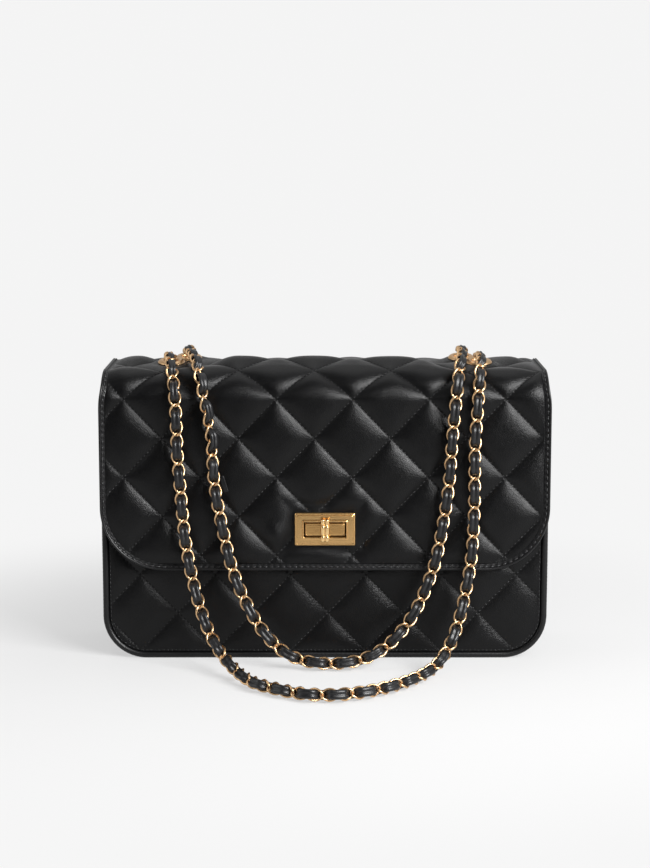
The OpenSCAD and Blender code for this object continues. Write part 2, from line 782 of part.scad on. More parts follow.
// Flat lace woven over one joint of the chain and under the next
module lace(route, face, first) {
    joints = chain_joints(route);
    last = len(joints) - 1 - first;
    rings = [
        for (k = [first : last - 1], q = [0 : 3])
            lace_ring(joints, k, q, face),
        lace_ring(joints, last, 0, face)
    ];
    sides = len(rings[0]);
    points = [for (ring = rings, p = ring) p];
    end = (len(rings) - 1) * sides;
    faces = concat(
        [for (i = [0 : len(rings) - 2], j = [0 : sides - 1], half = [0, 1])
            let (a = i * sides + j, b = i * sides + (j + 1) % sides)
            half == 0 ? [a, b + sides, b] : [a, a + sides, b + sides]],
        [for (j = [1 : sides - 2]) [0, j, j + 1]],
        [for (j = [1 : sides - 2]) [end, end + j + 1, end + j]]
    );
    polyhedron(points = points, faces = faces);
}

// Corners of the lace at a joint (q = 0) or at a quarter, half or three quarters of a link
function lace_ring(joints, k, q, face) =
    let (
        here = joints[k],
        next = joints[min(k + 1, len(joints) - 1)],
        before = joints[max(k - 1, 0)],
        way = unit(q == 0 ? next - before : next - here),
        out = facing(way, face),
        across = cross(out, way),
        side = k % 2 == 0 ? 1 : -1,
        swing = lace_swing * side * [1, lace_quarter, 0, -lace_quarter][q],
        middle = here + (next - here) * q / 4 + swing * out,
        w = lace_w / 2,
        t = lace_t / 2
    )
    [for (corner = [[-w, -t], [w, -t], [w, t], [-w, t]])
        middle + corner[0] * across + corner[1] * out];

function mirrored(route) = [for (p = route) [-p[0], p[1], p[2]]];

module inside_chain_left() { color(gold) chain(inside_route, inside_face); }

module inside_chain_right() {
    color(gold) chain(mirrored(inside_route), mirrored([inside_face])[0]);
}

module inside_lace_left() { color(leather) lace(inside_route, inside_face, 2); }

module inside_lace_right() {
    color(leather) lace(mirrored(inside_route), mirrored([inside_face])[0], 2);
}

module outer_strap_chain() { color(gold) chain(outer_route, strap_face); }

module outer_strap_lace() { color(leather) lace(outer_route, strap_face, 1); }

module inner_strap_chain() { color(gold) chain(inner_route, strap_face); }

module inner_strap_lace() { color(leather) lace(inner_route, strap_face, 1); }

// Sewn end of the lace, which hangs out beside the inner strap
module lace_end_tab() {
    color(leather) translate(tab_place) rotate([0, tab_tilt, 0])
        translate([0, -tab_size[1] / 2, -tab_size[2]]) cube(tab_size);
}

front_panel();
front_wadding();
back_panel();
back_wadding();
gusset();
front_piping();
back_piping();
base_board();
body_lining();
mouth_facing();
inner_pocket();
lock_base();
lock_backing_plate();
turn_bar();
turn_stem();
turn_washer();
turn_clip();
flap_leather();
flap_wadding();
flap_board();
flap_lining();
flap_binding();
lock_frame();
lock_frame_back_plate();
lock_screws();
eyelet_front_left();
eyelet_front_right();
eyelet_back_left();
eyelet_back_right();
eyelet_washers();
inside_chain_left();
inside_chain_right();
inside_lace_left();
inside_lace_right();
outer_strap_chain();
outer_strap_lace();
inner_strap_chain();
inner_strap_lace();
lace_end_tab();
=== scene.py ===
"""Looks of a quilted flap bag with a turn lock and a doubled chain strap, in metres."""

import math

import bpy
import numpy as np
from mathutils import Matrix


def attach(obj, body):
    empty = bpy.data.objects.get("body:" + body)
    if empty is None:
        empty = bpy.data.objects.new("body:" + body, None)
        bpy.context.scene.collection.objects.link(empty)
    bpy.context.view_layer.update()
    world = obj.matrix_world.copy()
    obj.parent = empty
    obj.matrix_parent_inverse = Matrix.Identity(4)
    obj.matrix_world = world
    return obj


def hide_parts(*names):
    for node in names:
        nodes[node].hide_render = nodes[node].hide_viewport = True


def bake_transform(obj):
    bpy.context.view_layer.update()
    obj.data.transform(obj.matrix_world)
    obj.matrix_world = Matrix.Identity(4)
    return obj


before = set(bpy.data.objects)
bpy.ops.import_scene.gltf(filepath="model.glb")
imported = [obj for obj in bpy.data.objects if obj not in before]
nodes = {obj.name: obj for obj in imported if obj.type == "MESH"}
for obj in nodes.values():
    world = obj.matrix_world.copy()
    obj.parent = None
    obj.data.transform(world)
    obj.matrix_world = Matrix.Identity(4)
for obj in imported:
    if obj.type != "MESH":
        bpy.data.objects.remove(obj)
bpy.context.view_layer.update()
MM = 0.001

# The set. A pale floor runs up into a pale backdrop, with a large softbox to the right and
# weaker ones to the left, overhead and in front, as in a product studio. The room behind
# the camera is dim, so that black leather stays black where it faces the viewer.
scene = bpy.context.scene
scene.view_settings.view_transform = "Standard"

LOOK_DOWN = 8.85
PALE = (0.92, 0.92, 0.92, 1)
camera_data = bpy.data.cameras.new("camera")
camera_data.lens = 85
camera_data.sensor_width = 36
camera = bpy.data.objects.new("camera", camera_data)
camera.location = (0, -1.371, 0.359)
camera.rotation_euler = (math.radians(90 - LOOK_DOWN), 0, 0)
scene.collection.objects.link(camera)
scene.camera = camera


def add_node(tree, kind, settings=(), **inputs):
    """Adds a shader node. An input is given by its name, with _ for a space, or by _ and its number."""
    made = tree.nodes.new(kind)
    for name, value in dict(settings).items():
        setattr(made, name, value)
    for name, value in inputs.items():
        socket = made.inputs[int(name[1:]) if name[1:].isdigit() else name.replace("_", " ")]
        if isinstance(value, bpy.types.NodeSocket):
            tree.links.new(value, socket)
        else:
            socket.default_value = value
    return made


def math_of(tree, kind, *values):
    """The result of a Math node on up to three values or sockets."""
    inputs = {f"_{number}": value for number, value in enumerate(values)}
    return add_node(tree, "ShaderNodeMath", {"operation": kind}, **inputs).outputs[0]


def mapped(tree, value, low, high, start=0.0, end=1.0, kind="LINEAR"):
    """A value carried over from the range start to end into the range low to high."""
    return add_node(tree, "ShaderNodeMapRange", {"interpolation_type": kind}, Value=value, From_Min=start,
                    From_Max=end, To_Min=low, To_Max=high).outputs[0]


def noise(tree, place, scale, **inputs):
    return add_node(tree, "ShaderNodeTexNoise", Vector=place, Scale=scale, **inputs).outputs["Fac"]


def new_material(name):
    """A material, its empty tree and its Object coordinates."""
    material = bpy.data.materials.new(name)
    material.use_nodes = True
    tree = material.node_tree
    tree.nodes.clear()
    return material, tree, add_node(tree, "ShaderNodeTexCoord").outputs["Object"]


def grid_quads(rows, columns, close_rows=False, close_columns=False):
    """Corner numbers of the quads of a grid whose point in row r and column c is r * columns + c."""
    r = np.arange(rows if close_rows else rows - 1)[:, None]
    c = np.arange(columns if close_columns else columns - 1)[None, :]
    r1, c1 = (r + 1) % rows, (c + 1) % columns
    return np.stack([r * columns + c, r * columns + c1, r1 * columns + c1, r1 * columns + c], -1).reshape(-1, 4)


def xyz(x, y, z):
    """Points from three coordinates, which are spread over each other's shape."""
    return np.stack(np.broadcast_arrays(x, y, z), -1)


def mesh_object(name, points, faces):
    mesh = bpy.data.meshes.new(name)
    mesh.from_pydata(np.asarray(points).reshape(-1, 3).tolist(), [], [list(f) for f in faces])
    mesh.polygons.foreach_set("use_smooth", np.ones(len(mesh.polygons), bool))
    made = bpy.data.objects.new(name, mesh)
    scene.collection.objects.link(made)
    return made


def studio_floor():
    """A sheet that is flat for floor_run, then rises in a quarter circle and runs straight up."""
    floor_run, bend, rise, half_width, front = 2.4, 0.9, 2.2, 3.4, -0.55
    along = np.linspace(0, floor_run + bend * math.pi / 2 + rise, 60)
    angle = np.clip((along - floor_run) / bend, 0, math.pi / 2)
    y = front + np.minimum(along, floor_run) + bend * np.sin(angle)
    z = bend * (1 - np.cos(angle)) + np.maximum(along - floor_run - bend * math.pi / 2, 0)
    x = np.linspace(-half_width, half_width, 30)
    floor = mesh_object("studio_floor", xyz(x, y[:, None], z[:, None]), grid_quads(60, 30))
    paper, tree, place = new_material("studio_paper")
    tone = add_node(tree, "ShaderNodeMixRGB", Fac=noise(tree, place, 3.0, Detail=4.0),
                    Color1=(0.60, 0.60, 0.60, 1), Color2=(0.63, 0.63, 0.63, 1))
    lit = add_node(tree, "ShaderNodeBsdfDiffuse", Color=tone.outputs["Color"])
    glow = add_node(tree, "ShaderNodeEmission", Color=PALE)
    far = add_node(tree, "ShaderNodeVectorMath", {"operation": "LENGTH"}, _0=place).outputs["Value"]
    clean = mapped(tree, far, 0.58, 0.98, 0.15, 0.45, "SMOOTHSTEP")
    ray = add_node(tree, "ShaderNodeLightPath").outputs
    seen = math_of(tree, "MULTIPLY_ADD", ray["Is Glossy Ray"], 0.5, ray["Is Camera Ray"])
    mixed = add_node(tree, "ShaderNodeMixShader", Fac=math_of(tree, "MULTIPLY", seen, clean), _1=lit.outputs[0],
                     _2=glow.outputs[0])
    add_node(tree, "ShaderNodeOutputMaterial", Surface=mixed.outputs[0])
    floor.data.materials.append(paper)


def studio_room():
    """The world: pale above, beside and behind the bag, dim on the viewer's side, and pale to the camera."""
    world = bpy.data.worlds.new("studio_room")
    scene.world = world
    world.use_nodes = True
    tree = world.node_tree
    tree.nodes.clear()
    place = add_node(tree, "ShaderNodeTexCoord").outputs["Generated"]
    depth = add_node(tree, "ShaderNodeSeparateXYZ", Vector=place).outputs["Y"]
    room = add_node(tree, "ShaderNodeBackground", Color=(1, 1, 1, 1),
                    Strength=mapped(tree, depth, 0.04, 0.45, -0.9, 0.3, "SMOOTHSTEP"))
    seen = add_node(tree, "ShaderNodeBackground", Color=PALE, Strength=1.0)
    ray = add_node(tree, "ShaderNodeLightPath").outputs
    mixed = add_node(tree, "ShaderNodeMixShader", Fac=ray["Is Camera Ray"], _1=room.outputs[0],
                     _2=seen.outputs[0])
    add_node(tree, "ShaderNodeOutputWorld", Surface=mixed.outputs[0])


def softbox(name, place, aim, size, radiance):
    """A rectangular lamp of that radiance, facing the aim point."""
    data = bpy.data.lights.new(name, "AREA")
    data.shape = "RECTANGLE"
    data.size, data.size_y = size
    data.energy = radiance * math.pi * size[0] * size[1]
    made = bpy.data.objects.new(name, data)
    made.location = place
    way = np.array(aim) - np.array(place)
    made.rotation_euler = (math.acos(-way[2] / np.linalg.norm(way)), 0, math.atan2(-way[0], way[1]))
    scene.collection.objects.link(made)


studio_floor()
studio_room()
softbox("softbox_right", (0.90, -0.97, 0.76), (0, 0, 0.12), (0.9, 0.6), 26.0)
softbox("softbox_left", (-1.2, -0.35, 0.55), (0, 0, 0.1), (0.6, 0.9), 2.0)
softbox("softbox_top", (0.1, 0.25, 1.35), (0, 0, 0.1), (1.3, 0.8), 0.9)
softbox("softbox_front", (0.1, -1.1, 1.0), (0, 0, 0.12), (0.5, 0.35), 2.5)

# The two strap loops. Each is a chain of twisted curb links in warm gold, woven with a
# folded leather lace that passes over one joint of the chain and under the next. Each loop
# comes out of two eyelets, hangs down the front of the flap and lies on the floor.
OUTER_ROUTE = MM * np.array([
    [-103, -5, 200], [-103, -20, 200.6], [-102, -30, 200.8], [-101, -40, 198.8],
    [-99, -48.3, 193.3], [-98, -54, 185], [-97, -56, 174], [-96.5, -56, 157],
    [-96, -56, 139], [-94.5, -56, 119], [-93, -56, 99], [-91, -56.5, 80],
    [-87.5, -57.5, 61], [-82.5, -61, 42], [-76, -68, 26], [-67.5, -79, 14],
    [-57, -96, 7], [-45, -118.5, 5.4], [-31, -131, 5.2], [-16, -142, 5.2],
    [3, -146, 5.2], [23, -140, 5.2], [41, -127, 5.2], [57, -109, 5.4],
    [71, -89, 7.5], [81, -74, 17], [88, -66, 34], [92.5, -60, 52],
    [95.5, -57, 69], [97, -56, 88], [97.5, -56, 107], [97.5, -56, 126],
    [97.5, -56, 145], [98.5, -56, 164], [99.5, -55.2, 178], [100.5, -52, 188.5],
    [101.5, -44.5, 196.6], [102.5, -34, 200.4], [103, -20, 200.6], [103, -5, 200],
])
INNER_ROUTE = MM * np.array([
    [-93, 20, 200], [-92.5, 8, 202.4], [-90, -8, 202.8], [-87, -24, 201.6],
    [-84.5, -36, 200], [-82.5, -46, 195], [-80.5, -53, 187], [-78.5, -56, 176],
    [-75, -56, 158], [-73.5, -56, 141], [-72.5, -56, 124], [-69.5, -56, 104],
    [-65.5, -56, 84], [-61, -56.5, 65], [-54.5, -58, 48], [-46, -61, 32],
    [-35, -65, 18], [-21, -69, 8.5], [-4, -72, 5.4], [13, -72, 5.4],
    [31, -69, 9.5], [46, -65, 20], [58.5, -61, 36], [67, -58, 54],
    [73, -56.5, 72], [76.5, -56, 91], [79.5, -56, 110], [81.5, -56, 129],
    [82.5, -56, 148], [84, -56, 166], [85.5, -54.6, 180], [87, -50, 191.5],
    [88.5, -41, 198.6], [90, -28, 201.4], [91.5, -10, 202.8], [92.5, 8, 202.4],
    [93, 20, 200],
])
LINK_PITCH, LINK_W, WIRE_D, LINK_GAP = 9.65 * MM, 8.7 * MM, 1.5 * MM, 0.2 * MM
LINK_TWIST = math.radians(45)
CROWN_OUT = (WIRE_D + LINK_GAP) / 2
STRAP_FACE = np.array([0, -1, 0.3])
LACE_W, LACE_T, LACE_SWING = 6.2 * MM, 2.7 * MM, 3.1 * MM
LACE_FLATNESS, LACE_FORWARD = 1.6, 0.45
LACE_SECTION = np.array([
    (1, 0), (0.97, 0.36), (0.88, 0.7), (0.72, 0.93), (0.5, 1), (0.3, 0.93), (0.13, 0.76), (0, 0.66),
    (-0.13, 0.76), (-0.3, 0.93), (-0.5, 1), (-0.72, 0.93), (-0.88, 0.7), (-0.97, 0.36), (-1, 0),
])


def unit(v):
    return v / np.linalg.norm(v, axis=-1, keepdims=True)


def circle(count):
    """Even angles round a full turn."""
    return np.arange(count) * 2 * math.pi / count


def way_gone(line):
    """The way gone along a line at each of its points."""
    return np.concatenate([[0], np.cumsum(np.linalg.norm(np.diff(line, axis=0), axis=1))])


def read_line(at, along, line):
    """Points of a line that is known at the places along, read at other places."""
    return np.stack([np.interp(at, along, line[:, k]) for k in range(line.shape[1])], -1)


def chain_joints(route):
    """Joints of a chain: a Catmull-Rom curve through the route, cut at even steps between its end crowns."""
    p = np.vstack([route[:1], route, route[-1:]])
    t = (np.arange(6) / 6)[None, :, None]
    a, b, c, d = (p[k : len(p) - 3 + k, None] for k in range(4))
    curve = 2 * b + (c - a) * t + (2 * a - 5 * b + 4 * c - d) * t**2 + (3 * b - a - 3 * c + d) * t**3
    line = np.vstack([0.5 * curve.reshape(-1, 3), route[-1:]])
    along = way_gone(line)
    whole = along[-1] - 2 * CROWN_OUT
    count = round(whole / LINK_PITCH)
    return read_line(CROWN_OUT + np.arange(count + 1) * whole / count, along, line)


def facing(way, face):
    """Direction square to the way a chain runs, as near as can be to the side that its links face."""
    return unit(face - (way * face).sum(-1, keepdims=True) * way)


def chain_links(joints, face):
    """Points of all links. A link's wire runs round an oval, half * cos a along the chain and
    half_w * sin a across it, whose plane twists evenly from one end to the other."""
    step = np.diff(joints, axis=0)[:, None, None]
    way = unit(step)
    half = np.linalg.norm(step, axis=-1, keepdims=True) / 2 + CROWN_OUT
    half_w = (LINK_W - WIRE_D) / 2
    middle = ((joints[1:] + joints[:-1]) / 2)[:, None, None]
    out = facing(way, (face[1:] + face[:-1])[:, None, None])
    across = np.cross(out, way)
    angle, turn = circle(26)[:, None, None], circle(8)[:, None]
    first, last = (sign * np.full((len(joints) - 1, 1, 1, 1), LINK_TWIST) for sign in (-1, 1))
    first[0] = last[-1] = 0
    twist = first + (last - first) * (np.cos(angle) + 1) / 2
    flat = np.cos(twist) * across + np.sin(twist) * out
    up = np.cos(twist) * out - np.sin(twist) * across
    centre = middle + half * np.cos(angle) * way + half_w * np.sin(angle) * flat
    long = np.hypot(half_w * np.cos(angle), half * np.sin(angle))
    away = half_w * np.cos(angle) / long * way + half * np.sin(angle) / long * flat
    return centre + WIRE_D / 2 * (np.cos(turn) * away + np.sin(turn) * up)


def woven_lace(joints, face, first):
    """Points and centre line of a lace. Its middle swings from one side of the chain to the other by a cosine
    of the joint's number, flattened with tanh so that it stays longer in front. Its section is two rolled
    lobes, which spread where they pass a joint and close up inside a link. A long one is pulled thinner over
    the 7 links at either end."""
    last = len(joints) - 1 - first
    t = np.linspace(first, last, (last - first) * 12 + 1)
    number = np.arange(len(joints))
    base = read_line(t, number, joints)
    way = unit(np.gradient(base, axis=0))
    out = facing(way, read_line(t, number, face))
    wave = np.cos(math.pi * t)
    most, least = (math.tanh(LACE_FLATNESS * (1 + sign * LACE_FORWARD)) for sign in (1, -1))
    bend = np.tanh(LACE_FLATNESS * (wave + LACE_FORWARD)) / np.where(wave > -LACE_FORWARD, most, least)
    pinch = 0.28 if len(joints) > 20 else 0
    slim = 1 - pinch * (1 - np.clip(np.minimum(t - first, last - t)[:, None] / 7, 0, 1) ** 2)
    middle = base + (LACE_SWING * bend)[:, None] * out * slim
    across = unit(np.cross(out, way))
    lift = np.cross(unit(np.gradient(middle, axis=0)), across)
    spread = wave[:, None] ** 2
    section = np.vstack([LACE_SECTION, -LACE_SECTION[1:-1]])
    side = LACE_W / 2 * (0.94 + 0.06 * spread) * slim * section[:, 0]
    rise = LACE_T / 2 * (1 - 0.12 * spread) * slim * section[:, 1]
    return middle[:, None] + side[..., None] * across[:, None] - rise[..., None] * lift[:, None], middle


def inside_out(points, quads):
    """True if a closed mesh of quads encloses less than nothing."""
    p = points - points.mean(0)
    a, b, c, d = (p[quads[:, k]] for k in range(4))
    return (a * (np.cross(b, c) + np.cross(c, d))).sum() < 0


def tubes(points, closed=False):
    """Faces of tubes whose points stand by tube, ring and side. Closed tubes join their last ring to
    their first, and open ones get one flat face at each end."""
    count, rings, sides = points.shape[:3]
    quads = grid_quads(rings, sides, closed, True)
    start = (np.arange(count) * rings * sides)[:, None, None]
    ring = np.arange(sides)
    faces = (quads + start).reshape(-1, 4)
    caps = (np.stack([ring[::-1], ring + (rings - 1) * sides]) + start).reshape(-1, sides)
    if inside_out(points[0].reshape(-1, 3), quads):
        faces, caps = faces[:, ::-1], caps[:, ::-1]
    return faces.tolist() + ([] if closed else caps.tolist())


def add_uv(piece, u, v):
    """Stores one coordinate pair for each point as the piece's own UV map."""
    layer = piece.data.uv_layers.new(name="UVMap")
    corner = np.empty(len(piece.data.loops), np.int32)
    piece.data.loops.foreach_get("vertex_index", corner)
    pair = np.stack([np.ravel(u), np.ravel(v)], -1)[corner]
    layer.data.foreach_set("uv", pair.astype(np.float32).ravel())


def new_group(name, inputs):
    """A node group with those numbers and a Vector as inputs, and the sockets that they come in by."""
    group = bpy.data.node_groups.new(name, "ShaderNodeTree")
    for label, value in inputs.items():
        group.interface.new_socket(label, in_out="INPUT", socket_type="NodeSocketFloat").default_value = value
    group.interface.new_socket("Vector", in_out="INPUT", socket_type="NodeSocketVector")
    return group, add_node(group, "NodeGroupInput").outputs


def end_group(group, **outputs):
    """Gives a node group its outputs, all of them numbers."""
    for label in outputs:
        group.interface.new_socket(label, in_out="OUTPUT", socket_type="NodeSocketFloat")
    add_node(group, "NodeGroupOutput", **outputs)
    return group


def metal_wear_group():
    """Handling marks on plated metal: soft stains, and fine hairlines that run every way. Tone and Rough
    vary round 1 and 0, and Height is in metres."""
    sizes = {"Stain size": 0.02, "Line size": 0.0006}
    group, given = new_group("metal_wear", sizes)
    stain_scale, line_scale = (math_of(group, "DIVIDE", 1.0, given[label]) for label in sizes)
    stain = noise(group, given["Vector"], stain_scale, Detail=3.0, Roughness=0.6)
    line = noise(group, given["Vector"], line_scale, Detail=2.0, Distortion=1.5)
    return end_group(group, Tone=mapped(group, stain, 0.86, 1.08), Rough=mapped(group, stain, -0.05, 0.08),
                     Height=math_of(group, "MULTIPLY", line, 0.00001))


def shaded(material, height, strength, **look):
    """Ends a material with a Principled shader of that look and a bump of that height in metres."""
    tree = material.node_tree
    bump = add_node(tree, "ShaderNodeBump", Height=height, Distance=1.0, Strength=strength)
    shader = add_node(tree, "ShaderNodeBsdfPrincipled", Normal=bump.outputs[0], **look)
    add_node(tree, "ShaderNodeOutputMaterial", Surface=shader.outputs[0])
    return material


def toned(tree, tone, colour, rough, roughness):
    """The inputs of a colour that is multiplied by tone, and of a roughness to which rough is added."""
    tinted = add_node(tree, "ShaderNodeVectorMath", {"operation": "SCALE"}, _0=colour, Scale=tone)
    return {"Base_Color": tinted.outputs[0], "Roughness": math_of(tree, "ADD", rough, roughness)}


metal_wear = metal_wear_group()


def plated_metal(name, colour, roughness, stain_size=0.02, line_size=0.0006, brush=None):
    """Plated metal with handling marks and, with brush, a satin grain of that size drawn out along X."""
    material, tree, place = new_material(name)
    wear = add_node(tree, "ShaderNodeGroup", {"node_tree": metal_wear}, Vector=place, Stain_size=stain_size,
                    Line_size=line_size).outputs
    height = wear["Height"]
    if brush:
        drawn = add_node(tree, "ShaderNodeMapping", Vector=place, Scale=(0.02, 1.0, 1.0))
        satin = noise(tree, drawn.outputs[0], 1 / brush, Detail=2.0)
        height = math_of(tree, "MULTIPLY_ADD", satin, 0.00003, height)
    return shaded(material, height, 0.6, Metallic=1.0,
                  **toned(tree, wear["Tone"], colour, wear["Rough"], roughness))


def leather_grain_group():
    """Grain of smooth calf leather: fine pebbles between creases, pores, and a slow unevenness of the
    finish. Height is in metres, Rough varies round 0 and Tone round 1."""
    group, given = new_group("leather_grain", {"Pebble size": 0.0011, "Depth": 0.00002})
    pebble = add_node(group, "ShaderNodeTexVoronoi", {"feature": "DISTANCE_TO_EDGE"}, Vector=given["Vector"],
                      Scale=math_of(group, "DIVIDE", 1.0, given["Pebble size"]))
    crease = mapped(group, pebble.outputs["Distance"], 0.0, 1.0, end=0.22)
    slow = noise(group, given["Vector"], 45.0, Detail=5.0, Roughness=0.62)
    both = math_of(group, "MULTIPLY_ADD", slow, 1.6, crease)
    return end_group(group, Tone=mapped(group, slow, 0.75, 1.3), Rough=mapped(group, slow, 0.09, -0.07),
                     Height=math_of(group, "MULTIPLY", both, given["Depth"]))


leather_grain = leather_grain_group()


def leather(name, colour, roughness, pebble=0.0011, gloss=0.5):
    """Finished leather with its grain, whose pebbles have that size in metres."""
    material, tree, place = new_material(name)
    grain = add_node(tree, "ShaderNodeGroup", {"node_tree": leather_grain}, Vector=place,
                     Pebble_size=pebble).outputs
    return shaded(material, grain["Height"], 0.7, Specular_IOR_Level=gloss,
                  **toned(tree, grain["Tone"], colour, grain["Rough"], roughness))


chain_gold = plated_metal("chain_gold", (0.74, 0.485, 0.262), 0.33, stain_size=0.03)
lace_leather = leather("lace_leather", (0.005, 0.005, 0.0057), 0.36, pebble=0.0008, gloss=0.42)


def built(name, points, faces, body, material, *replaced, slot=None):
    """A piece from points in millimetres, with its material, its body and the nodes that it stands for. The
    slot argument is not used."""
    piece = mesh_object(name, points * MM, faces)
    piece.data.materials.append(material)
    if body:
        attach(piece, body)
    if replaced:
        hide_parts(*replaced)
    return piece


def woven_chain(name, route, face, body, first, turned=lambda joints: 0):
    """Chain and lace along a route, standing for the nodes of the same names. The links
    all face one way, but for the angle by which turned says that a joint is turned about the chain."""
    chain_name, lace_name = (name.replace("@", word) for word in ("chain", "lace"))
    joints = chain_joints(route)
    way = unit(np.gradient(joints, axis=0))
    out = facing(way, face)
    turn = np.broadcast_to(turned(joints), len(joints))[:, None]
    face = np.cos(turn) * out + np.sin(turn) * np.cross(way, out)
    links = chain_links(joints, face)
    chain = built(chain_name + "_links", links / MM, tubes(links, closed=True), body, chain_gold, chain_name)
    points, middle = woven_lace(joints, face, first)
    lace = built(lace_name + "_leather", points / MM, tubes(points[None]), body, lace_leather, lace_name)
    rows, columns = points.shape[:2]
    add_uv(lace, np.tile(np.arange(columns) / columns, (rows, 1)), np.repeat(np.arange(rows) / rows, columns))


def crest_turn(joints):
    """Links are turned by up to 40 degrees where they run over the crest."""
    x, y = joints[:, 0], joints[:, 1]
    return math.radians(40) * np.sign(x) * np.clip((y + 0.055) / 0.02, 0, 1) * np.clip(-y / 0.012, 0, 1)


def slack_turn(joints):
    """The inner strap's links are turned by up to 50 degrees where it hangs over the flap's upper left."""
    x, z = joints[:, 0], joints[:, 2]
    return crest_turn(joints) + math.radians(-50) * np.exp(-(((z - 0.164) / 0.03) ** 4)) * (x < 0)


woven_chain("outer_strap_@", OUTER_ROUTE, STRAP_FACE, "outer_strap", 1, crest_turn)
woven_chain("inner_strap_@", INNER_ROUTE, STRAP_FACE, "inner_strap", 1, slack_turn)

# The sewn end of the lace, a flat tab that hangs out beside the inner strap. Its two layers
# are glued to each other and show as one, with soft edges.


def rounded_outline(half_w, half_h, radius, corner=8):
    """Points round a rectangle with four rounded corners, an equal number in each corner."""
    turn = np.linspace(0, math.pi / 2, corner)
    quarter = np.stack([np.cos(turn), np.sin(turn)], -1) * radius + [half_w - radius, half_h - radius]
    return np.vstack([quarter, quarter[::-1] * [-1, 1], -quarter, quarter[::-1] * [1, -1]])


def plate_rings(levels):
    """Rings of a plate or stem along Y: each level gives half width, half height, corner and Y."""
    return np.stack([np.insert(rounded_outline(*level[:3]), 1, level[3], axis=1) for level in levels])


smooth_leather = leather("smooth_leather", (0.003, 0.003, 0.0033), 0.36, gloss=0.32)
tab = plate_rings([(1.0, 5.0, 0.4, -0.7), (1.4, 5.4, 0.7, -0.6), (1.5, 5.5, 0.8, 0), (1.4, 5.4, 0.7, 0.6),
                   (1.0, 5.0, 0.4, 0.7)]) + [1.8, 0, -5.5]
tilt = math.radians(-17)
tab = tab @ [[math.cos(tilt), 0, -math.sin(tilt)], [0, 1, 0], [math.sin(tilt), 0, math.cos(tilt)]]
built("lace_tab", tab + [-69.2, -56, 126], tubes(tab[None]), "inner_strap", smooth_leather, "lace_end_tab",
      slot="lace_leather")

# The front and back panels. Black calf leather is machine quilted over fleece in straight
# diamonds, so it swells between the seams, and it is pinched flat where it meets the piping.
WALLS = (("front", -1), ("back", 1))
DIAMOND_W, DIAMOND_H, DIAMOND_SIDE, STITCHES = 50, 52, 36.04, 12
PINCH = 11


def ease(t):
    t = np.clip(t, 0, 1)
    return t * t * (3 - 2 * t)


def ripple(x, s, size, seed):
    """Slow unevenness between about -1 and 1: a sum of sine waves of that size in random directions."""
    rng = np.random.default_rng(seed)
    turn, phase = rng.uniform(0, 2 * math.pi, (2, 14, 1, 1))
    length = size * rng.uniform(0.6, 1.7, (14, 1, 1))
    along = np.atleast_2d(x) * np.cos(turn) + np.atleast_2d(s) * np.sin(turn)
    return np.sin(along * 2 * math.pi / length + phase).sum(0) / 4


def inside_edge(x, s, half_w, foot, radius):
    """Distance from the nearest side or bottom of an outline whose two lower corners are rounded."""
    over, under = np.abs(x) - (half_w - radius), foot + radius - s
    return radius - np.hypot(np.maximum(over, 0), np.maximum(under, 0)) - np.minimum(np.maximum(over, under), 0)


def diamonds(x, s, cross_x, cross_s):
    """Diamond coordinates, which step by one from seam to seam and meet at the crossing."""
    p, q = (x - cross_x) / DIAMOND_W, (s - cross_s) / DIAMOND_H
    return p + q, p - q


def quilting(x, s, cross_x, cross_s, puff):
    """Height over the puffs' tops: a rounded arch a across one pair of seams and b across the other, joined
    as ab / (a + b - ab), with its own fullness in each diamond, and small gathers that fan out of the
    seams."""
    u, v = diamonds(x, s, cross_x, cross_s)
    a, b = (1 - (1 - 2 * np.abs(w - np.round(w))) ** 3.3 for w in (u, v))
    full = 0.93 + 0.09 * np.sin(np.floor(u) * 5.1 + np.floor(v) * 9.7)
    p, q = u * 36, v * 36
    gather = ripple(p, q * 4, 22, 5) * np.exp(-a * 3.0) + ripple(p * 4, q, 22, 6) * np.exp(-b * 3.0)
    arch = a * b / (a + b - a * b + 1e-6)
    return puff * (arch * full - 1) + 0.10 * gather * arch


def pinched(near):
    """Nought at an edge that the quilting is sewn down to, rising to one a little inside it."""
    return 1 - (1 - np.clip(near / PINCH, 0, 1)) ** 2.4


def round_corners(x, s, half_w, foot, radius, start=90):
    """Draws the columns beyond start inwards, in proportion, so that the last one follows the outline."""
    room = half_w - radius + np.sqrt(radius**2 - np.maximum(foot + radius - s, 0) ** 2)
    share = (np.maximum(np.abs(x), start) - start) / (half_w - start)
    return np.sign(x) * (np.minimum(np.abs(x), start) + share * (room - start))


def steps_through(at, step, low, high):
    """Even steps that pass through one place, with both limits added as the first and last step."""
    inner = at + step * np.arange(math.ceil((low - at) / step), math.floor((high - at) / step) + 1)
    inner = inner[(inner > low + 0.35 * step) & (inner < high - 0.35 * step)]
    return np.concatenate([[low], inner, [high]])


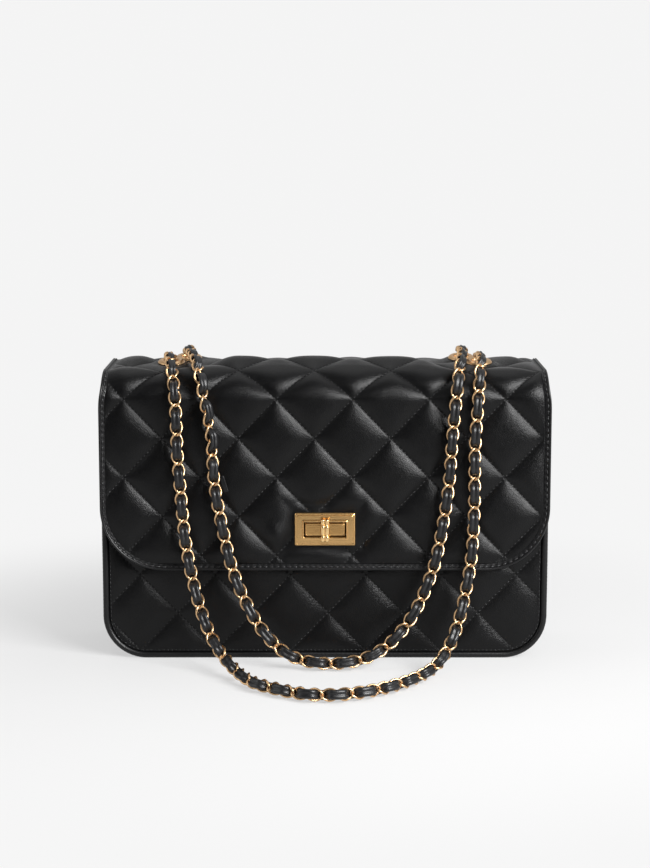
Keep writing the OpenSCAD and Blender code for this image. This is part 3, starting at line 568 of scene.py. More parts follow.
def solid_sheet(outer, inner, keep=None):
    """Points and faces of a sheet between two grids of points, which may carry more numbers behind their
    three coordinates. Cells that keep leaves out are holes, and a wall closes each edge and hole."""
    rows, columns = outer.shape[:2]
    keep = np.ones((rows - 1, columns - 1), bool) if keep is None else keep
    n = rows * columns
    index = np.arange(n).reshape(rows, columns)
    corners = [index[:-1, :-1], index[:-1, 1:], index[1:, 1:], index[1:, :-1]]
    top = np.stack(corners, -1)[keep]
    beside = np.pad(keep, 1)
    beside = [beside[:-2, 1:-1], beside[1:-1, 2:], beside[2:, 1:-1], beside[1:-1, :-2]]
    walls = [np.stack([b, a, a + n, b + n], -1)[keep & ~near]
             for a, b, near in zip(corners, corners[1:] + corners[:1], beside)]
    used, faces = np.unique(np.vstack([top, top[:, ::-1] + n, *walls]), return_inverse=True)
    points = np.stack([outer, inner]).reshape(2 * n, -1)[used]
    faces = faces.reshape(-1, 4)
    return points, faces[:, ::-1] if inside_out(points[:, :3], faces) else faces


def whole_cells(clear):
    """True at the cells of a grid whose four corners are all clear."""
    return clear[:-1, :-1] & clear[1:, 1:] & clear[1:, :-1] & clear[:-1, 1:]


def quilted_sheet(name, outer, inner, keep, uv, sewn, body, *replaced):
    """A padded sheet with diamond coordinates as its UV map and, as its attribute, sewn, which is one where
    its outer face shows its seams."""
    grids = (np.dstack([grid, *uv, mark]) for grid, mark in ((outer, sewn), (inner, 0 * sewn)))
    points, faces = solid_sheet(*grids, keep)
    piece = built(name, points[:, :3], faces, body, quilted_leather, *replaced)
    add_uv(piece, points[:, 3], points[:, 4])
    layer = piece.data.attributes.new("quilted", "FLOAT", "POINT")
    layer.data.foreach_set("value", points[:, 5].astype(np.float32))
    return piece


def quilt_seam_group():
    """A machine seam along each whole number of a UV map in diamond coordinates: the thread's groove, and
    puckers that dip where each stitch of a diamond's side goes through. Groove marks the groove and the
    needle holes, where the leather's colour is darkened as painted shade. Height is in metres."""
    group, given = new_group("quilt_seam", {"Quilted": 1.0})
    axes = add_node(group, "ShaderNodeSeparateXYZ", Vector=given["Vector"]).outputs

    def of(kind, *values):
        return math_of(group, kind, *values)

    def bell(distance, width):
        share = of("DIVIDE", distance, width)
        return of("EXPONENT", of("MULTIPLY", of("MULTIPLY", share, share), -1.0))

    grooves, heights = [], []
    for across, along in (("X", "Y"), ("Y", "X")):
        distance = of("MULTIPLY", of("PINGPONG", axes[across], 0.5), DIAMOND_SIDE)
        wave = of("COSINE", of("MULTIPLY", axes[along], 2 * math.pi * STITCHES))
        stitch = of("MULTIPLY_ADD", wave, 0.5, 0.5)
        pucker = of("MULTIPLY", of("MULTIPLY", stitch, bell(distance, 1.0)), -0.00012)
        heights.append(of("MULTIPLY_ADD", bell(distance, 0.45), -0.00007, pucker))
        hole = of("MULTIPLY", of("POWER", stitch, 2.0), bell(distance, 0.6))
        grooves.append(of("MAXIMUM", of("MULTIPLY", bell(distance, 0.42), 0.75), hole))
    return end_group(group, Groove=of("MULTIPLY", of("MAXIMUM", *grooves), given["Quilted"]),
                     Height=of("MULTIPLY", of("ADD", *heights), given["Quilted"]))


quilt_seam = quilt_seam_group()

quilted_leather, tree, place = new_material("quilted_leather")
grain = add_node(tree, "ShaderNodeGroup", {"node_tree": leather_grain}, Vector=place, Pebble_size=0.0010,
                 Depth=0.000055).outputs
own_uv = add_node(tree, "ShaderNodeTexCoord").outputs["UV"]
sewn = add_node(tree, "ShaderNodeAttribute", {"attribute_name": "quilted"}).outputs["Fac"]
seam = add_node(tree, "ShaderNodeGroup", {"node_tree": quilt_seam}, Vector=own_uv, Quilted=sewn).outputs
rough = math_of(tree, "MULTIPLY_ADD", seam["Groove"], 0.65, grain["Rough"])
# Painted shade: the colour is darkened to a fifth in the seams' groove and needle holes.
tone = math_of(tree, "MULTIPLY", grain["Tone"], mapped(tree, seam["Groove"], 1.0, 0.2))
shaded(quilted_leather, math_of(tree, "ADD", grain["Height"], seam["Height"]), 0.9, Specular_IOR_Level=0.205,
       **toned(tree, tone, (0.0022, 0.0022, 0.0024), rough, 0.31))
PANEL_HW, PANEL_FOOT, MOUTH_Z, PANEL_R = 143.4, 4.6, 180.0, 24.4
PANEL_CROSS, PANEL_Y, PANEL_T, LOCK_Z, BORE_R = (27, 57), 40, 4.2, 90, 4.4


def panel_edge(x, z):
    """Distance from the nearest edge of a panel."""
    return np.minimum(inside_edge(x, z, PANEL_HW, PANEL_FOOT, PANEL_R), MOUTH_Z - z)


def panel_height(x, z, side):
    """The quilting, pinched to the piping and the mouth and flat under the lock, with a slow belly: less in
    front, where the flap lies."""
    rise = pinched(panel_edge(x, z))
    flat = ease((np.hypot(x, (z - LOCK_Z) * 1.6) - 18) / 10) if side < 0 else 1
    belly = np.cos(x / PANEL_HW * 1.5) * np.sin(math.pi * np.clip((z - 4) / 172, 0, 1)) ** 0.8
    puffs = (quilting(x, z, *PANEL_CROSS, 2.3) + 1.5) * rise * flat - 1.5
    return puffs + (1.0 if side < 0 else 2.2) * belly + 0.12 * rise * ripple(x, z, 60, 11)


def at_wall(side, y):
    """Places a point of a front or back wall: x and z stay, and the surface's own height stands out of the
    wall's face."""
    return lambda x, z, h: xyz(x, side * (y + h), z)


THREAD_T = np.array([-1, -0.72, 0, 0.72, 1])
THREAD_R = np.array([0.35, 0.9, 1, 0.9, 0.35])
THREAD_RISE = np.array([-0.4, 0.02, 0.14, 0.02, -0.4])


def sew(name, at, way, lift, place, body, length=1.6, radius=0.22):
    """Threads of a seam, one small swelling tube a stitch. A stitch runs along way from its middle and rises
    in an arch out of the sheet, whose own height there is lift."""
    turn = circle(5)
    along = at[:, None] + THREAD_T[:, None] * length / 2 * way[:, None]
    side = np.stack([-way[:, 1], way[:, 0]], -1)[:, None, None]
    ring = radius * THREAD_R[None, :, None]
    flat = along[:, :, None] + (ring * np.cos(turn))[..., None] * side
    height = (lift(along[..., 0], along[..., 1]) + THREAD_RISE)[..., None] + ring * np.sin(turn)
    points = place(flat[..., 0], flat[..., 1], height)
    built(name, points, tubes(points), body, black_thread, slot="smooth_leather")


black_thread, tree, place = new_material("black_thread")
ply = add_node(tree, "ShaderNodeTexWave", {"bands_direction": "DIAGONAL"}, Vector=place, Scale=900.0,
               Distortion=1.5).outputs["Fac"]
tone = mapped(tree, ply, 0.7, 1.3)
shaded(black_thread, math_of(tree, "MULTIPLY", ply, 0.00004), 0.7,
       **toned(tree, tone, (0.016, 0.016, 0.017), tone, -0.6))


def seam_stitches(cross_x, cross_s, inside):
    """Middles and directions of the quilting's stitches, on every seam of both ways, where inside says that
    the seam is sewn."""
    reach = 14
    seam, stitch = np.meshgrid(np.arange(-reach, reach + 1),
                               (np.arange(-reach * STITCHES, reach * STITCHES) + 0.5) / STITCHES, indexing="ij")
    at, way = [], []
    for sign in (1, -1):
        u, v = (seam, stitch)[::sign]
        x, s = cross_x + DIAMOND_W * (u + v) / 2, cross_s + DIAMOND_H * (u - v) / 2
        sewn = inside(x, s)
        at.append(np.stack([x[sewn], s[sewn]], -1))
        way.append(np.tile(unit(np.array([DIAMOND_W, -sign * DIAMOND_H])), (sewn.sum(), 1)))
    return np.vstack(at), np.vstack(way)


for name, side in WALLS:
    x, z = np.meshgrid(steps_through(PANEL_CROSS[0], DIAMOND_W / 48, -PANEL_HW, PANEL_HW),
                       steps_through(PANEL_CROSS[1], DIAMOND_H / 48, PANEL_FOOT, MOUTH_Z))
    x = round_corners(x, z, PANEL_HW, PANEL_FOOT, PANEL_R)
    put = at_wall(side, PANEL_Y)
    bore = whole_cells(np.hypot(x, z - LOCK_Z) > BORE_R) if side < 0 else None
    panel = quilted_sheet(name + "_panel_quilted", put(x, z, panel_height(x, z, side)), put(x, z, -PANEL_T),
                          bore, diamonds(x, z, *PANEL_CROSS), ease((panel_edge(x, z) - 0.5) / 2), "root",
                          name + "_panel", name + "_wadding")
    seen_to = 100 if side < 0 else MOUTH_Z
    sew(name + "_panel_stitches",
        *seam_stitches(*PANEL_CROSS, lambda x, s: (panel_edge(x, s) > 1.5) & (s < seen_to)),
        lambda x, s: panel_height(x, s, side) - 0.12, put, "root")

# The gusset, one strip of leather that runs down one side, along the base and up the other
# side. It is sewn to both panels through the piping and caves in a little between them.
GUSSET_HW, GUSSET_HD, BASE_R, GUSSET_T = 147, 35.4, 28, 1.8


def u_path(half_w, foot, radius, top, step=3.0):
    """A path down the left side, round both lower corners and up the right side, with its outward way."""
    down = np.linspace(top, foot + radius, max(2, int((top - foot - radius) / step)))
    turn = np.linspace(0, math.pi / 2, max(6, int(radius * 1.57 / step)))[1:]
    flat = np.linspace(-half_w + radius, half_w - radius, max(2, int(2 * (half_w - radius) / step)))[1:-1]
    cos, sin = np.cos(turn), np.sin(turn)
    half = np.hstack([
        np.broadcast_arrays(-half_w, down, -1.0, 0.0),
        [-half_w + radius - radius * cos, foot + radius - radius * sin, -cos, -sin],
    ]).T
    base = np.stack(np.broadcast_arrays(flat, foot, 0.0, -1.0), -1)
    return np.vstack([half, base, half[::-1] * [-1, 1, -1, 1]])


def off_path(path, out):
    """The two coordinates of places that stand off a path by out, along its outward way."""
    x, z, nx, nz = path.T[..., None]
    return x + nx * out, z + nz * out


def cave_in(points):
    """Moves the bag's two sides inwards, most in the middle of their depth and near the mouth."""
    x, y, z = np.moveaxis(points, -1, 0)
    depth = 4.5 * (1 - np.clip(np.abs(y) / GUSSET_HD, 0, 1) ** 2) ** 2 * ease((z - 25) / 125)
    moved = points.copy()
    moved[..., 0] -= np.where(np.abs(x) > 120, np.sign(x) * depth, 0)
    return moved


def strip(half_w, foot, radius, top, half_d, thick, wave=0.0):
    """A strip of that thickness along the U path, spread over the depth, and caved in at the sides."""
    path = u_path(half_w, foot, radius, top)
    y = np.linspace(-half_d, half_d, 25)
    uneven = wave * ripple(np.arange(len(path))[:, None] * 3.0, y, 40, 21)
    faces_xz = (off_path(path, off) for off in (uneven, uneven - thick))
    return solid_sheet(*(cave_in(xyz(x, y, z)) for x, z in faces_xz))


built("gusset_strip", *strip(GUSSET_HW, 0, BASE_R, MOUTH_Z, GUSSET_HD, GUSSET_T), "root", smooth_leather,
      "gusset")

# The piping, a leather cord sewn into the seam round each panel. Its cover puckers a little
# at every stitch of the seam, and a row of stitches shows right beside it.
PIPING_R, PIPING_Y, PIPING_STITCH = 2.2, 37.8, 2.7
for name, side in WALLS:
    path = u_path(145.8, 2.2, 26.8, MOUTH_Z - 1.2, step=0.9)
    turn = circle(20)
    along = way_gone(path[:, :2])[:, None]
    pucker = 0.06 * (0.5 + 0.5 * np.cos(2 * math.pi * along / PIPING_STITCH))
    radius = PIPING_R - pucker - 0.05 * (1 + np.sin(along / 17.0))
    radius[[0, -1]] *= 0.55
    radius[[1, -2]] *= 0.9
    x, z = off_path(path, radius * np.cos(turn))
    points = xyz(x, side * PIPING_Y + radius * np.sin(turn), z)
    built(name + "_piping_cord", points, tubes(points[None]), "root", smooth_leather, name + "_piping")
    row = u_path(142.6, 5.4, 23.6, MOUTH_Z - 2, step=PIPING_STITCH)[:, :2]
    sew(name + "_piping_stitches", row, unit(np.gradient(row, axis=0)),
        lambda x, s: panel_height(x, s, side) + 0.05, at_wall(side, PANEL_Y), "root", length=2.0)

# The base board, a stiff sheet of fibreboard between the gusset and the lining, and the
# flap's stiffener of the same board. They keep their plain shapes, hidden in the leather.
fibreboard, tree, place = new_material("fibreboard")
chips = add_node(tree, "ShaderNodeTexVoronoi", Vector=place, Scale=700.0).outputs["Distance"]
card = add_node(tree, "ShaderNodeValToRGB", Fac=chips)
for stop, colour in zip(card.color_ramp.elements, ((0.32, 0.24, 0.15, 1), (0.22, 0.16, 0.10, 1))):
    stop.color = colour
shaded(fibreboard, math_of(tree, "MULTIPLY", chips, 0.0001), 1.0, Base_Color=card.outputs[0], Roughness=0.85)


def finish_node(name, material):
    """Gives a carried-over CAD node its material."""
    node = nodes[name]
    node.data.materials.clear()
    node.data.materials.append(material)


finish_node("base_board", fibreboard)
finish_node("flap_board", fibreboard)

# The lining, cut as a front, a back and one strip between them from fine black twill, and
# sewn to the facing at the mouth. The slip pocket is a second layer on the back wall.
twill, tree, place = new_material("lining_twill")
weft = add_node(tree, "ShaderNodeTexWave", {"bands_direction": "DIAGONAL"}, Vector=place, Scale=420.0,
                Distortion=0.6).outputs["Fac"]
tone = mapped(tree, noise(tree, place, 180.0, Detail=3.0), 0.7, 1.35)
shaded(twill, math_of(tree, "MULTIPLY", weft, 0.00006), 1.0, Sheen_Weight=0.25,
       **toned(tree, tone, (0.022, 0.020, 0.023), tone, -0.3))


def wall(half_w, foot, top, radius, near, far, wave, hole=None, step=3.0, belly=0.0):
    """A piece with two rounded lower corners between two places along Y, a little uneven, which stands off
    by belly in the middle of its upper edge. hole is the radius of the lock's hole."""
    x, z = np.meshgrid(steps_through(0, step, -half_w, half_w), steps_through(foot, step, foot, top))
    x = round_corners(x, z, half_w, foot, radius, start=0.6 * half_w)
    uneven = wave * ripple(x, z, 55, 31) - belly * np.cos(x / half_w * 1.57) * ease((z - foot) / (top - foot))
    keep = whole_cells(np.hypot(x, z - LOCK_Z) > hole) if hole else None
    return solid_sheet(xyz(x, near + uneven, z), xyz(x, far + uneven, z), keep)


LINING_HW, LINING_FOOT, LINING_TOP, LINING_R, LINING_Y, LINING_T = 145, 4.2, 179.6, 25, 34.6, 1.0
POCKET_HW, POCKET_FOOT, POCKET_TOP, POCKET_R, POCKET_YS = 80, 48, 144, 12, (34.3, 33.1)
shells = [strip(LINING_HW, LINING_FOOT, LINING_R, LINING_TOP, 34.5, LINING_T, wave=0.1)]
for side, hole in ((-1, 4.6), (1, None)):
    points, faces = wall(LINING_HW, LINING_FOOT, LINING_TOP, LINING_R, side * LINING_Y,
                         side * (LINING_Y + LINING_T), 0.12, hole)
    shells.append((cave_in(points), faces))
start = np.cumsum([0] + [len(points) for points, _ in shells])
lining = built("lining_twill_bag", np.vstack([points for points, _ in shells]),
               np.vstack([faces + first for (_, faces), first in zip(shells, start)]), "root", twill,
               "body_lining", slot="lining_cloth")
pocket = built("pocket_twill", *wall(POCKET_HW, POCKET_FOOT, POCKET_TOP, POCKET_R, *POCKET_YS, 0.1,
                                     belly=0.9, step=2.0),
               "root", twill, "inner_pocket", slot="lining_cloth")

# The facing, a band of leather round the inside of the mouth, sewn to the lining along its
# lower edge. Its upper edge is level with the panels.
FACING_HW, FACING_HD, FACING_R, FACING_T, FACING_FOOT = 143.8, 34.4, 3, 1.2, 158


def facing_band():
    """An upright band round the mouth, as two rounded outlines carried up from its foot."""
    z = np.linspace(FACING_FOOT, MOUTH_Z, 10)[:, None]
    sheets, share = [], None
    for into in (0, FACING_T):
        ring = rounded_outline(FACING_HW - into, FACING_HD - into, max(FACING_R - into, 0.4), 6)
        ring = np.vstack([ring, ring[:1]])
        along = way_gone(ring)
        if share is None:
            share = np.unique(np.concatenate([along / along[-1], np.linspace(0, 1, 220)]))
        x, y = read_line(share * along[-1], along, ring).T
        sheets.append(cave_in(xyz(x, y, z)))
    return solid_sheet(*sheets)


def level_row(reach, height):
    """Middles and directions of the stitches of a level row, 3 mm apart."""
    x = np.arange(-reach, reach + 0.1, 3.0)
    return np.stack([x, np.full(len(x), height)], -1), np.tile([1.0, 0.0], (len(x), 1))


built("mouth_facing_band", *facing_band(), "root", smooth_leather, "mouth_facing")
for name, side in WALLS:
    sew(f"facing_stitches_{name}", *level_row(138, FACING_FOOT + 1.6), lambda x, s: 0 * x,
        lambda x, s, h: at_wall(side, FACING_HD - 1.15)(x, s, -h), "root")

# The flap's quilted leather. One piece covers its front, roof and back bend, and its last
# bit is sewn flat to the back panel, which is the fold that it opens on.
FLAP_HW, FLAP_FOOT, FLAP_R, FLAP_CROSS = 144, -6, 38, (18, 0)
LOW_Z, ROOF_Z, FRONT_Y, BACK_Y, FRONT_BEND, BACK_BEND = 72, 195, -50, 40, 20, 10
FRONT_END = ROOF_Z - FRONT_BEND - LOW_Z
ROOF_START = FRONT_END + FRONT_BEND * math.pi / 2
ROOF_END = ROOF_START + BACK_Y - BACK_BEND - FRONT_Y - FRONT_BEND
BACK_START = ROOF_END + BACK_BEND * math.pi / 2
QUILT_END, THIN_FROM, ON_PANEL, DRAWN_TO, FLAP_TOP, FOLD_SEAM = 197, 203, 209, 226, 227, 224
LOCK_HW, LOCK_HH, LOCK_S, WINDOW_HW, WINDOW_HH = 20, 11, LOCK_Z - LOW_Z, 15.4, 6.6
EYELETS = ((103, -5), (93, 20))
EYELET_TILT, HOLE_R, UNSEWN_R, SEAT_R = 0.12, 6.2, 8.5, 9.5
FLAP_T, FOLD_T, FLAP_LINING = 4.2, 1.4, (-5.4, -6.6)


def flap_place(x, s, h):
    """A point of the flap: s is the way gone up the front from LOW_Z, round the front bend, back over the
    roof, round the back bend and down the back, and h is the height over the outer face. Near both sides the
    flap is drawn in a little, and the roof droops by a power of the way gone past x 138."""
    front, back = (s - FRONT_END) / FRONT_BEND, (s - ROOF_END) / BACK_BEND
    on = [s < FRONT_END, s < ROOF_START, s < ROOF_END, s < BACK_START]
    front_mid, back_mid = FRONT_Y + FRONT_BEND, BACK_Y - BACK_BEND
    y = np.select(on, [FRONT_Y - h, front_mid - (FRONT_BEND + h) * np.cos(front), s - ROOF_START + front_mid,
                       back_mid + (BACK_BEND + h) * np.sin(back)], BACK_Y + h)
    z = np.select(on, [LOW_Z + s, ROOF_Z - FRONT_BEND + (FRONT_BEND + h) * np.sin(front), ROOF_Z + h,
                       ROOF_Z - BACK_BEND + (BACK_BEND + h) * np.cos(back)],
                  ROOF_Z - BACK_BEND - (s - BACK_START))
    behind = ease((DRAWN_TO - s) / 22)
    drawn = np.sin(np.clip(front, 0, math.pi / 2)) * behind
    droop = (np.clip(np.abs(x) - 138, 0, 10) / 10) ** 2.2 * drawn
    rounded = 0.8 * drawn + 1.2 * ease((s - 96) / 22) * behind
    narrow = np.sign(x) * rounded * ease((np.abs(x) - 118) / 24)
    return xyz(x - narrow, y, z - droop)


def past_lock(x, s):
    """How far a point of the flap lies outside the lock's plate."""
    return np.maximum(np.abs(x) - LOCK_HW, np.abs(s - LOCK_S) - LOCK_HH)


def past_eyelets(x, s):
    """For each pair of eyelets, the distance from the nearer one's axis and the way gone past it."""
    for ex, ey in EYELETS:
        behind = s - (ROOF_START - FRONT_Y - FRONT_BEND + ey)
        yield np.hypot(np.abs(x) - ex, behind), behind


def hump(distance, width):
    return np.exp(-((distance / width) ** 2))


def flap_height(x, s):
    """The quilting, pinched at the bound edge and domed over the middle of the roof and its back corners. It is
    flat under the lock's plate, with a groove round that and a swelling at its left, and round the eyelets. It
    is smooth over the back bend, below which it lies on the back panel."""
    rise = pinched(inside_edge(x, s, FLAP_HW, FLAP_FOOT, FLAP_R))
    height = -1.9 + (quilting(x, s, *FLAP_CROSS, 3.2) + 1.9 + 0.15 * ripple(x, s, 70, 8)) * rise
    outside = past_lock(x, s)
    plate = ease(outside / 7)
    height = -0.3 + (height + 0.3) * plate - 2.2 * hump(outside - 0.5, 6) * (outside > -1.5)
    height = height + 1.8 * hump(x + 33, 7) * hump(s - 13, 8) * plate
    for far, behind in past_eyelets(x, s):
        seat = -0.1 + EYELET_TILT * behind
        height = seat + (height - seat) * ease((far - SEAT_R) / 6)
    dome = 5.6 * hump(s - 150, 17) * (1 - ease((np.abs(x) - 58) / 26))
    dome = dome + 1.8 * hump(s - 180, 15) * hump(np.abs(x) - 127, 11)
    plain = ease((s - QUILT_END) / 8)
    return height * (1 - plain) - 0.4 * plain + dome + ease((s - ON_PANEL) / 6) * 2.3


def flap_holes(x, s):
    """True at the cells that lie outside the lock's window and the four eyelet holes."""
    clear = (np.abs(x) > WINDOW_HW) | (np.abs(s - LOCK_S) > WINDOW_HH)
    for far, _ in past_eyelets(x, s):
        clear &= far > HOLE_R
    return whole_cells(clear)


def flap_sewn(x, s):
    """One where the flap is quilted, falling to nought at the edge, the lock, the eyelets and the back."""
    mark = ease((inside_edge(x, s, FLAP_HW, FLAP_FOOT, FLAP_R) - 0.5) / 2) * (1 - ease((s - QUILT_END) / 3))
    mark = mark * ease(past_lock(x, s) + 0.5)
    for far, _ in past_eyelets(x, s):
        mark = mark * ease(far - UNSEWN_R)
    return mark


x, s = np.meshgrid(steps_through(FLAP_CROSS[0], DIAMOND_W / 60, -FLAP_HW, FLAP_HW),
                   steps_through(FLAP_CROSS[1], DIAMOND_H / 60, FLAP_FOOT, FLAP_TOP))
x = round_corners(x, s, FLAP_HW, FLAP_FOOT, FLAP_R)
height = flap_height(x, s)
thin = ease((s - THIN_FROM) / 9)
inner = -FLAP_T * (1 - thin) + (height - FOLD_T) * thin
flap = quilted_sheet("flap_quilted", flap_place(x, s, height), flap_place(x, s, inner), flap_holes(x, s),
                     diamonds(x, s, *FLAP_CROSS), flap_sewn(x, s), None, "flap_leather", "flap_wadding")
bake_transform(flap)
sew("flap_quilt_stitches", *seam_stitches(*FLAP_CROSS, lambda x, s: flap_sewn(x, s) > 0.9), flap_height,
    flap_place, "flap")
sew("flap_back_stitches", *level_row(141, FOLD_SEAM), flap_height, flap_place, "root")

# The binding, a strip of leather folded round the raw edges of the flap's layers, rolled to
# a bead at the outside, and sewn through along its inner edge.
BOUND_TO, BORDER_STITCH, STITCH_OUT = 214.4, 3.85, 1.65


def bound_edge(inset, step):
    """The flap's outline from the fold at the right, round the two lower corners, to the fold at the left,
    set in by the inset, as places across and along the flap and the outward way."""
    return u_path(FLAP_HW - inset, FLAP_FOOT + inset, FLAP_R - inset, BOUND_TO, step)[::-1]


EDGE_SECTION = np.array([
    (-0.6, -2.6), (-0.3, -2.1), (0.2, -1.9), (0.8, -1.65), (1.3, -1.5), (1.7, -1.52), (2.0, -1.35),
    (2.3, -0.95), (2.7, -0.6), (3.2, -0.5), (3.7, -0.75), (3.97, -1.4), (4.0, -2.2), (3.95, -3.4), (4.0, -4.6),
    (3.9, -5.7), (3.4, -6.4), (2.6, -6.65), (1.6, -6.7), (0.7, -6.7), (0.1, -6.65), (-0.3, -6.5), (-0.4, -5.8),
    (-0.4, -4.4),
])
path = bound_edge(0, BORDER_STITCH / 5)
along = way_gone(path[:, :2])[:, None]
out, rise = EDGE_SECTION.T
pull = (0.5 + 0.5 * np.cos(2 * math.pi * (along - out) / BORDER_STITCH)) * (rise > -2.2) * hump(out - 1.2, 0.9)
points = flap_place(*off_path(path, out), rise - 0.35 * pull)
built("flap_edge_binding", points, tubes(points[None]), "flap", smooth_leather, "flap_binding")
row = bound_edge(-STITCH_OUT, BORDER_STITCH)[:, :2]
sew("flap_border_stitches", row, unit(np.gradient(row, axis=0)), lambda x, s: 0 * x - 1.34, flap_place, "flap",
    length=2.8, radius=0.46)

# The flap's lining, smooth matt leather glued to its board, with the window of the lock and
# the four eyelet holes cut through.
flap_lining_leather = leather("flap_lining_leather", (0.020, 0.018, 0.020), 0.5, pebble=0.0007)
x, s = np.meshgrid(steps_through(0, 2.0, -FLAP_HW, FLAP_HW), steps_through(0, 2.0, FLAP_FOOT, 214.2))
x = round_corners(x, s, FLAP_HW, FLAP_FOOT, FLAP_R)
uneven = 0.06 * ripple(x, s, 50, 41)
built("flap_lining_smooth",
      *solid_sheet(*(flap_place(x, s, uneven + h) for h in FLAP_LINING), flap_holes(x, s)),
      "flap", flap_lining_leather, "flap_lining")

# The turn lock. Its frame is a die-cast plate with a rolled rim round the window, screwed
# through the flap to a back plate. The block on the front panel stands in the window.
lock_gold = plated_metal("lock_gold", (0.66, 0.41, 0.17), 0.23, 0.05, 0.0004, brush=0.0004)
# The block's gold is the frame's gold made darker: painted shade for its place deep in the window.
shaded_block_gold = plated_metal("shaded_block_gold", (0.56, 0.33, 0.125), 0.23, 0.05, 0.0004, brush=0.0004)
knob_gold = plated_metal("knob_gold", (0.86, 0.58, 0.27), 0.13, 0.012, 0.0004)
plain_steel = plated_metal("plain_steel", (0.55, 0.55, 0.55), 0.34)


def lock_part(name, levels, body, material, *replaced, slot=None, closed=True):
    """A plate from its rounded outlines, one after another: round a window or bore, or from end to end."""
    points = plate_rings(levels) + [0, 0, LOCK_Z]
    built(name, points, tubes(points[None], closed), body, material, *replaced, slot=slot)


lock_part("lock_frame_cast", [
    (13.8, 5.0, 0.4, -43.3), (13.8, 5.0, 0.4, -50.0), (13.8, 5.0, 0.4, -52.2), (13.88, 5.08, 0.45, -52.5),
    (14.1, 5.3, 0.7, -52.74), (14.4, 5.6, 1.0, -52.8), (14.7, 5.9, 1.3, -52.7), (14.92, 6.12, 1.5, -52.4),
    (15.0, 6.2, 1.6, -52.0), (15.12, 6.32, 1.6, -51.76), (15.3, 6.5, 1.5, -51.7), (15.6, 6.8, 1.4, -51.7),
    (18.0, 9.0, 0.8, -51.7), (18.25, 9.25, 0.75, -51.7), (18.4, 9.4, 0.75, -51.55),
    (18.45, 9.45, 0.78, -51.2), (18.6, 9.6, 0.8, -51.12), (18.8, 9.8, 0.85, -51.3), (18.95, 9.95, 0.9, -51.35),
    (19.15, 10.15, 0.95, -51.28), (19.85, 10.85, 1.1, -50.65), (20.0, 11.0, 1.15, -50.4),
    (20.0, 11.0, 1.2, -48.8), (19.9, 10.9, 1.1, -48.6), (15.1, 6.3, 1.6, -48.6), (15.0, 6.2, 1.6, -48.5),
    (15.0, 6.2, 1.6, -43.4), (14.9, 6.1, 1.5, -43.3),
], "flap", lock_gold, "lock_frame")
lock_part("lock_base_cast", [
    (2.1, 2.1, 2.1, -33.5), (2.1, 2.1, 2.1, -51.9), (2.4, 2.4, 2.4, -52.15), (2.6, 2.6, 2.4, -52.15),
    (11.8, 3.0, 0.4, -52.15), (12.0, 3.2, 0.5, -52.15), (12.15, 3.35, 0.6, -52.0), (12.3, 3.5, 0.7, -52.02),
    (12.6, 3.8, 0.8, -52.3), (12.85, 4.05, 0.9, -52.2), (13.05, 4.25, 1.0, -51.8), (13.1, 4.3, 1.0, -51.0),
    (13.3, 4.5, 1.0, -49.0), (13.3, 4.5, 1.0, -41.3), (13.4, 4.6, 1.0, -41.1), (18.6, 9.6, 0.9, -41.1),
    (18.9, 9.9, 1.0, -40.95), (19.0, 10.0, 1.0, -40.7), (19.0, 10.0, 1.0, -40.2), (18.9, 9.9, 1.0, -40.1),
    (4.0, 4.0, 4.0, -40.1), (4.0, 4.0, 4.0, -33.6), (3.9, 3.9, 3.9, -33.5),
], "root", shaded_block_gold, "lock_base", slot="lock_gold")

# The knob, a bar of two rods side by side, pinched by two bands, on a steel stem that turns
# in the block. A washer and a snap ring hold the stem behind the front panel.
BAR_Y, ROD_X, ROD_R, BAND_Z = -54.6, 1.38, 1.5, 3.39


def bar_rod(x, z):
    """A rod along Z whose radius is rounded off at both ends. In the two pinches it dips, and the rod is drawn
    towards its twin."""
    turn, pinch = circle(24), np.abs(z)[:, None] - BAND_Z
    end = (np.clip(np.abs(z)[:, None] - 6.75, 0, 1) / 0.96) ** 2
    radius = ROD_R * np.sqrt(np.clip(1 - end, 0.001, 1)) - 0.42 * hump(pinch, 0.6)
    drawn = 1 - 0.16 * hump(pinch, 0.7)
    return xyz(x * drawn + radius * np.cos(turn), BAR_Y + radius * np.sin(turn), LOCK_Z + z[:, None])


end = np.linspace(6.4, 7.7, 9)
z = np.unique(np.concatenate([-end, np.linspace(-6.4, 6.4, 65), end]))
rods = np.stack([bar_rod(-ROD_X, z), bar_rod(ROD_X, z)])
built("turn_bar_rods", rods, tubes(rods), "turn_knob", knob_gold, "turn_bar", slot="lock_gold")
cos, sin = np.cos(circle(32)), np.sin(circle(32))
band = np.stack([
    xyz(1.16 * np.abs(cos) ** 0.5 * np.sign(cos) + r * cos, BAR_Y + r * sin, LOCK_Z + dz)
    for r, dz in ((1.1, -0.42), (1.3, -0.38), (1.42, -0.2), (1.45, 0), (1.42, 0.2), (1.3, 0.38), (1.1, 0.42))
])
bands = np.stack([band - [0, 0, BAND_Z], band + [0, 0, BAND_Z]])
built("turn_bar_bands", bands, tubes(bands), "turn_knob", knob_gold, slot="lock_gold")
lock_part("turn_bar_web", [
    (0.9, 6.6, 0.6, -53.35), (1.2, 6.9, 0.8, -53.6), (1.2, 6.9, 0.8, -55.3), (0.9, 6.6, 0.6, -55.6),
], "turn_knob", lock_gold, closed=False)
lock_part("turn_stem_rod", [
    (1.7, 1.7, 1.7, -54.4), (2.0, 2.0, 2.0, -54.2), (2.0, 2.0, 2.0, -32.95), (1.4, 1.4, 1.4, -32.95),
    (1.4, 1.4, 1.4, -32.15), (2.0, 2.0, 2.0, -32.15), (2.0, 2.0, 2.0, -31.8), (1.8, 1.8, 1.8, -31.6),
], "turn_knob", plain_steel, "turn_stem", closed=False)
for name in ("turn_washer", "turn_clip", "lock_backing_plate", "lock_screws"):
    finish_node(name, plain_steel)
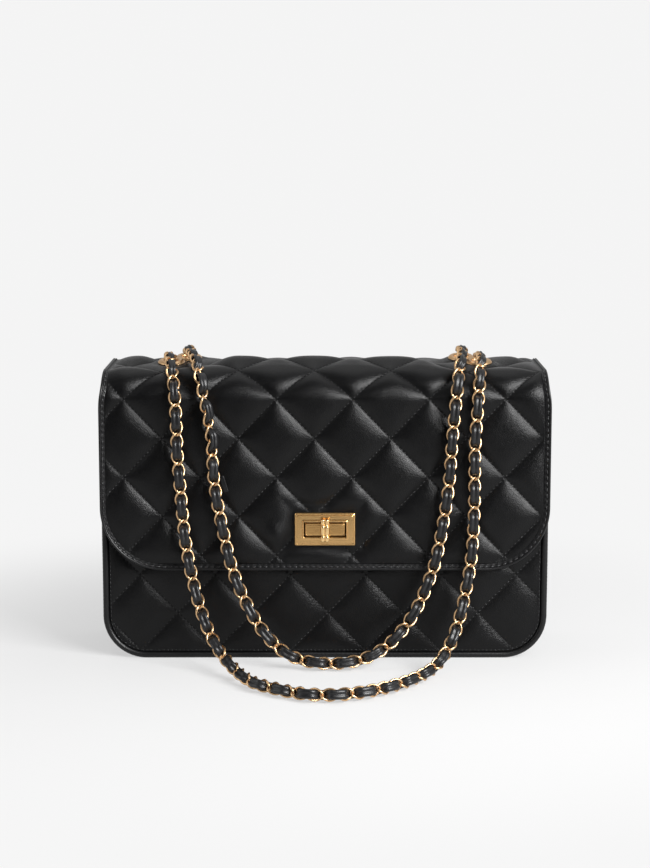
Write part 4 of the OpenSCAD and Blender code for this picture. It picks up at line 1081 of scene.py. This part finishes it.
lock_part("lock_back_plate_stamped", [
    (13.8, 5.0, 0.4, -43.2), (13.8, 5.0, 0.4, -42.35), (13.95, 5.15, 0.5, -42.2), (19.6, 10.6, 0.9, -42.2),
    (19.9, 10.9, 1.0, -42.35), (20.0, 11.0, 1.0, -42.6), (20.0, 11.0, 1.0, -43.1), (19.9, 10.9, 1.0, -43.2),
], "flap", plain_steel, "lock_frame_back_plate")

# The four eyelets, spun brass in the strap's gold. Each has a domed flange on the roof and a
# barrel that is rolled out over a steel washer underneath.
EYELET_SECTION = np.array([
    (5.0, 186.6), (5.0, 188), (5.0, 195.2), (5.05, 195.9), (5.3, 196.6), (5.8, 197.0), (6.5, 197.15),
    (7.3, 197.0), (8.1, 196.55), (8.7, 195.9), (9.05, 195.4), (9.1, 195.15), (8.9, 195.1), (6.2, 195.1),
    (6.0, 195.0), (6.0, 187.4), (6.3, 187.25), (7.0, 187.2), (7.2, 186.9), (7.0, 186.5), (6.2, 186.4),
    (5.3, 186.4),
])


def lathed(section, x, y):
    """A section of radii and heights turned round an upright axis. Its flange leans forward with the roof."""
    turn = circle(48)
    r, z = section[:, :1], section[:, 1:]
    lean = EYELET_TILT * r * np.sin(turn) * ease((z - 192) / 3)
    return xyz(x + r * np.cos(turn), y + r * np.sin(turn), z + lean)


for side, end in ((-1, "left"), (1, "right")):
    for (ex, ey), row in zip(EYELETS, ("front", "back")):
        rings = lathed(EYELET_SECTION, side * ex, ey)
        name = f"eyelet_{row}_{end}"
        built(name + "_spun", rings, tubes(rings[None], closed=True), "flap", chain_gold, name)
finish_node("eyelet_washers", plain_steel)

# The two runs inside the bag. Each joins a front eyelet to the back one beside it, so that
# the strap can slide from one doubled loop into a long single one.
(x, y), (back_x, back_y) = EYELETS
reach = math.hypot(x - back_x, back_y - y)
fall = np.array([(0, 8), (-0.3, 19.7), (-2.2, 21.3), (7.5, 38)])
fall = np.vstack([fall, [(reach / 2, 33.7)], [reach, 0] + fall[::-1] * [-1, 1]])
share, drop = fall[:, 0] / reach, fall[:, 1]
run = np.column_stack([-x + share * (x - back_x), y + share * (back_y - y), 200 - drop])
run = np.vstack([[-x, y, 201.7], run, [-back_x, back_y, 201.7]]) * MM
for end, side in (("left", 1), ("right", -1)):
    woven_chain(f"inside_@_{end}", run * [side, 1, 1], np.array([side, -0.11, 0]), "flap", 2)
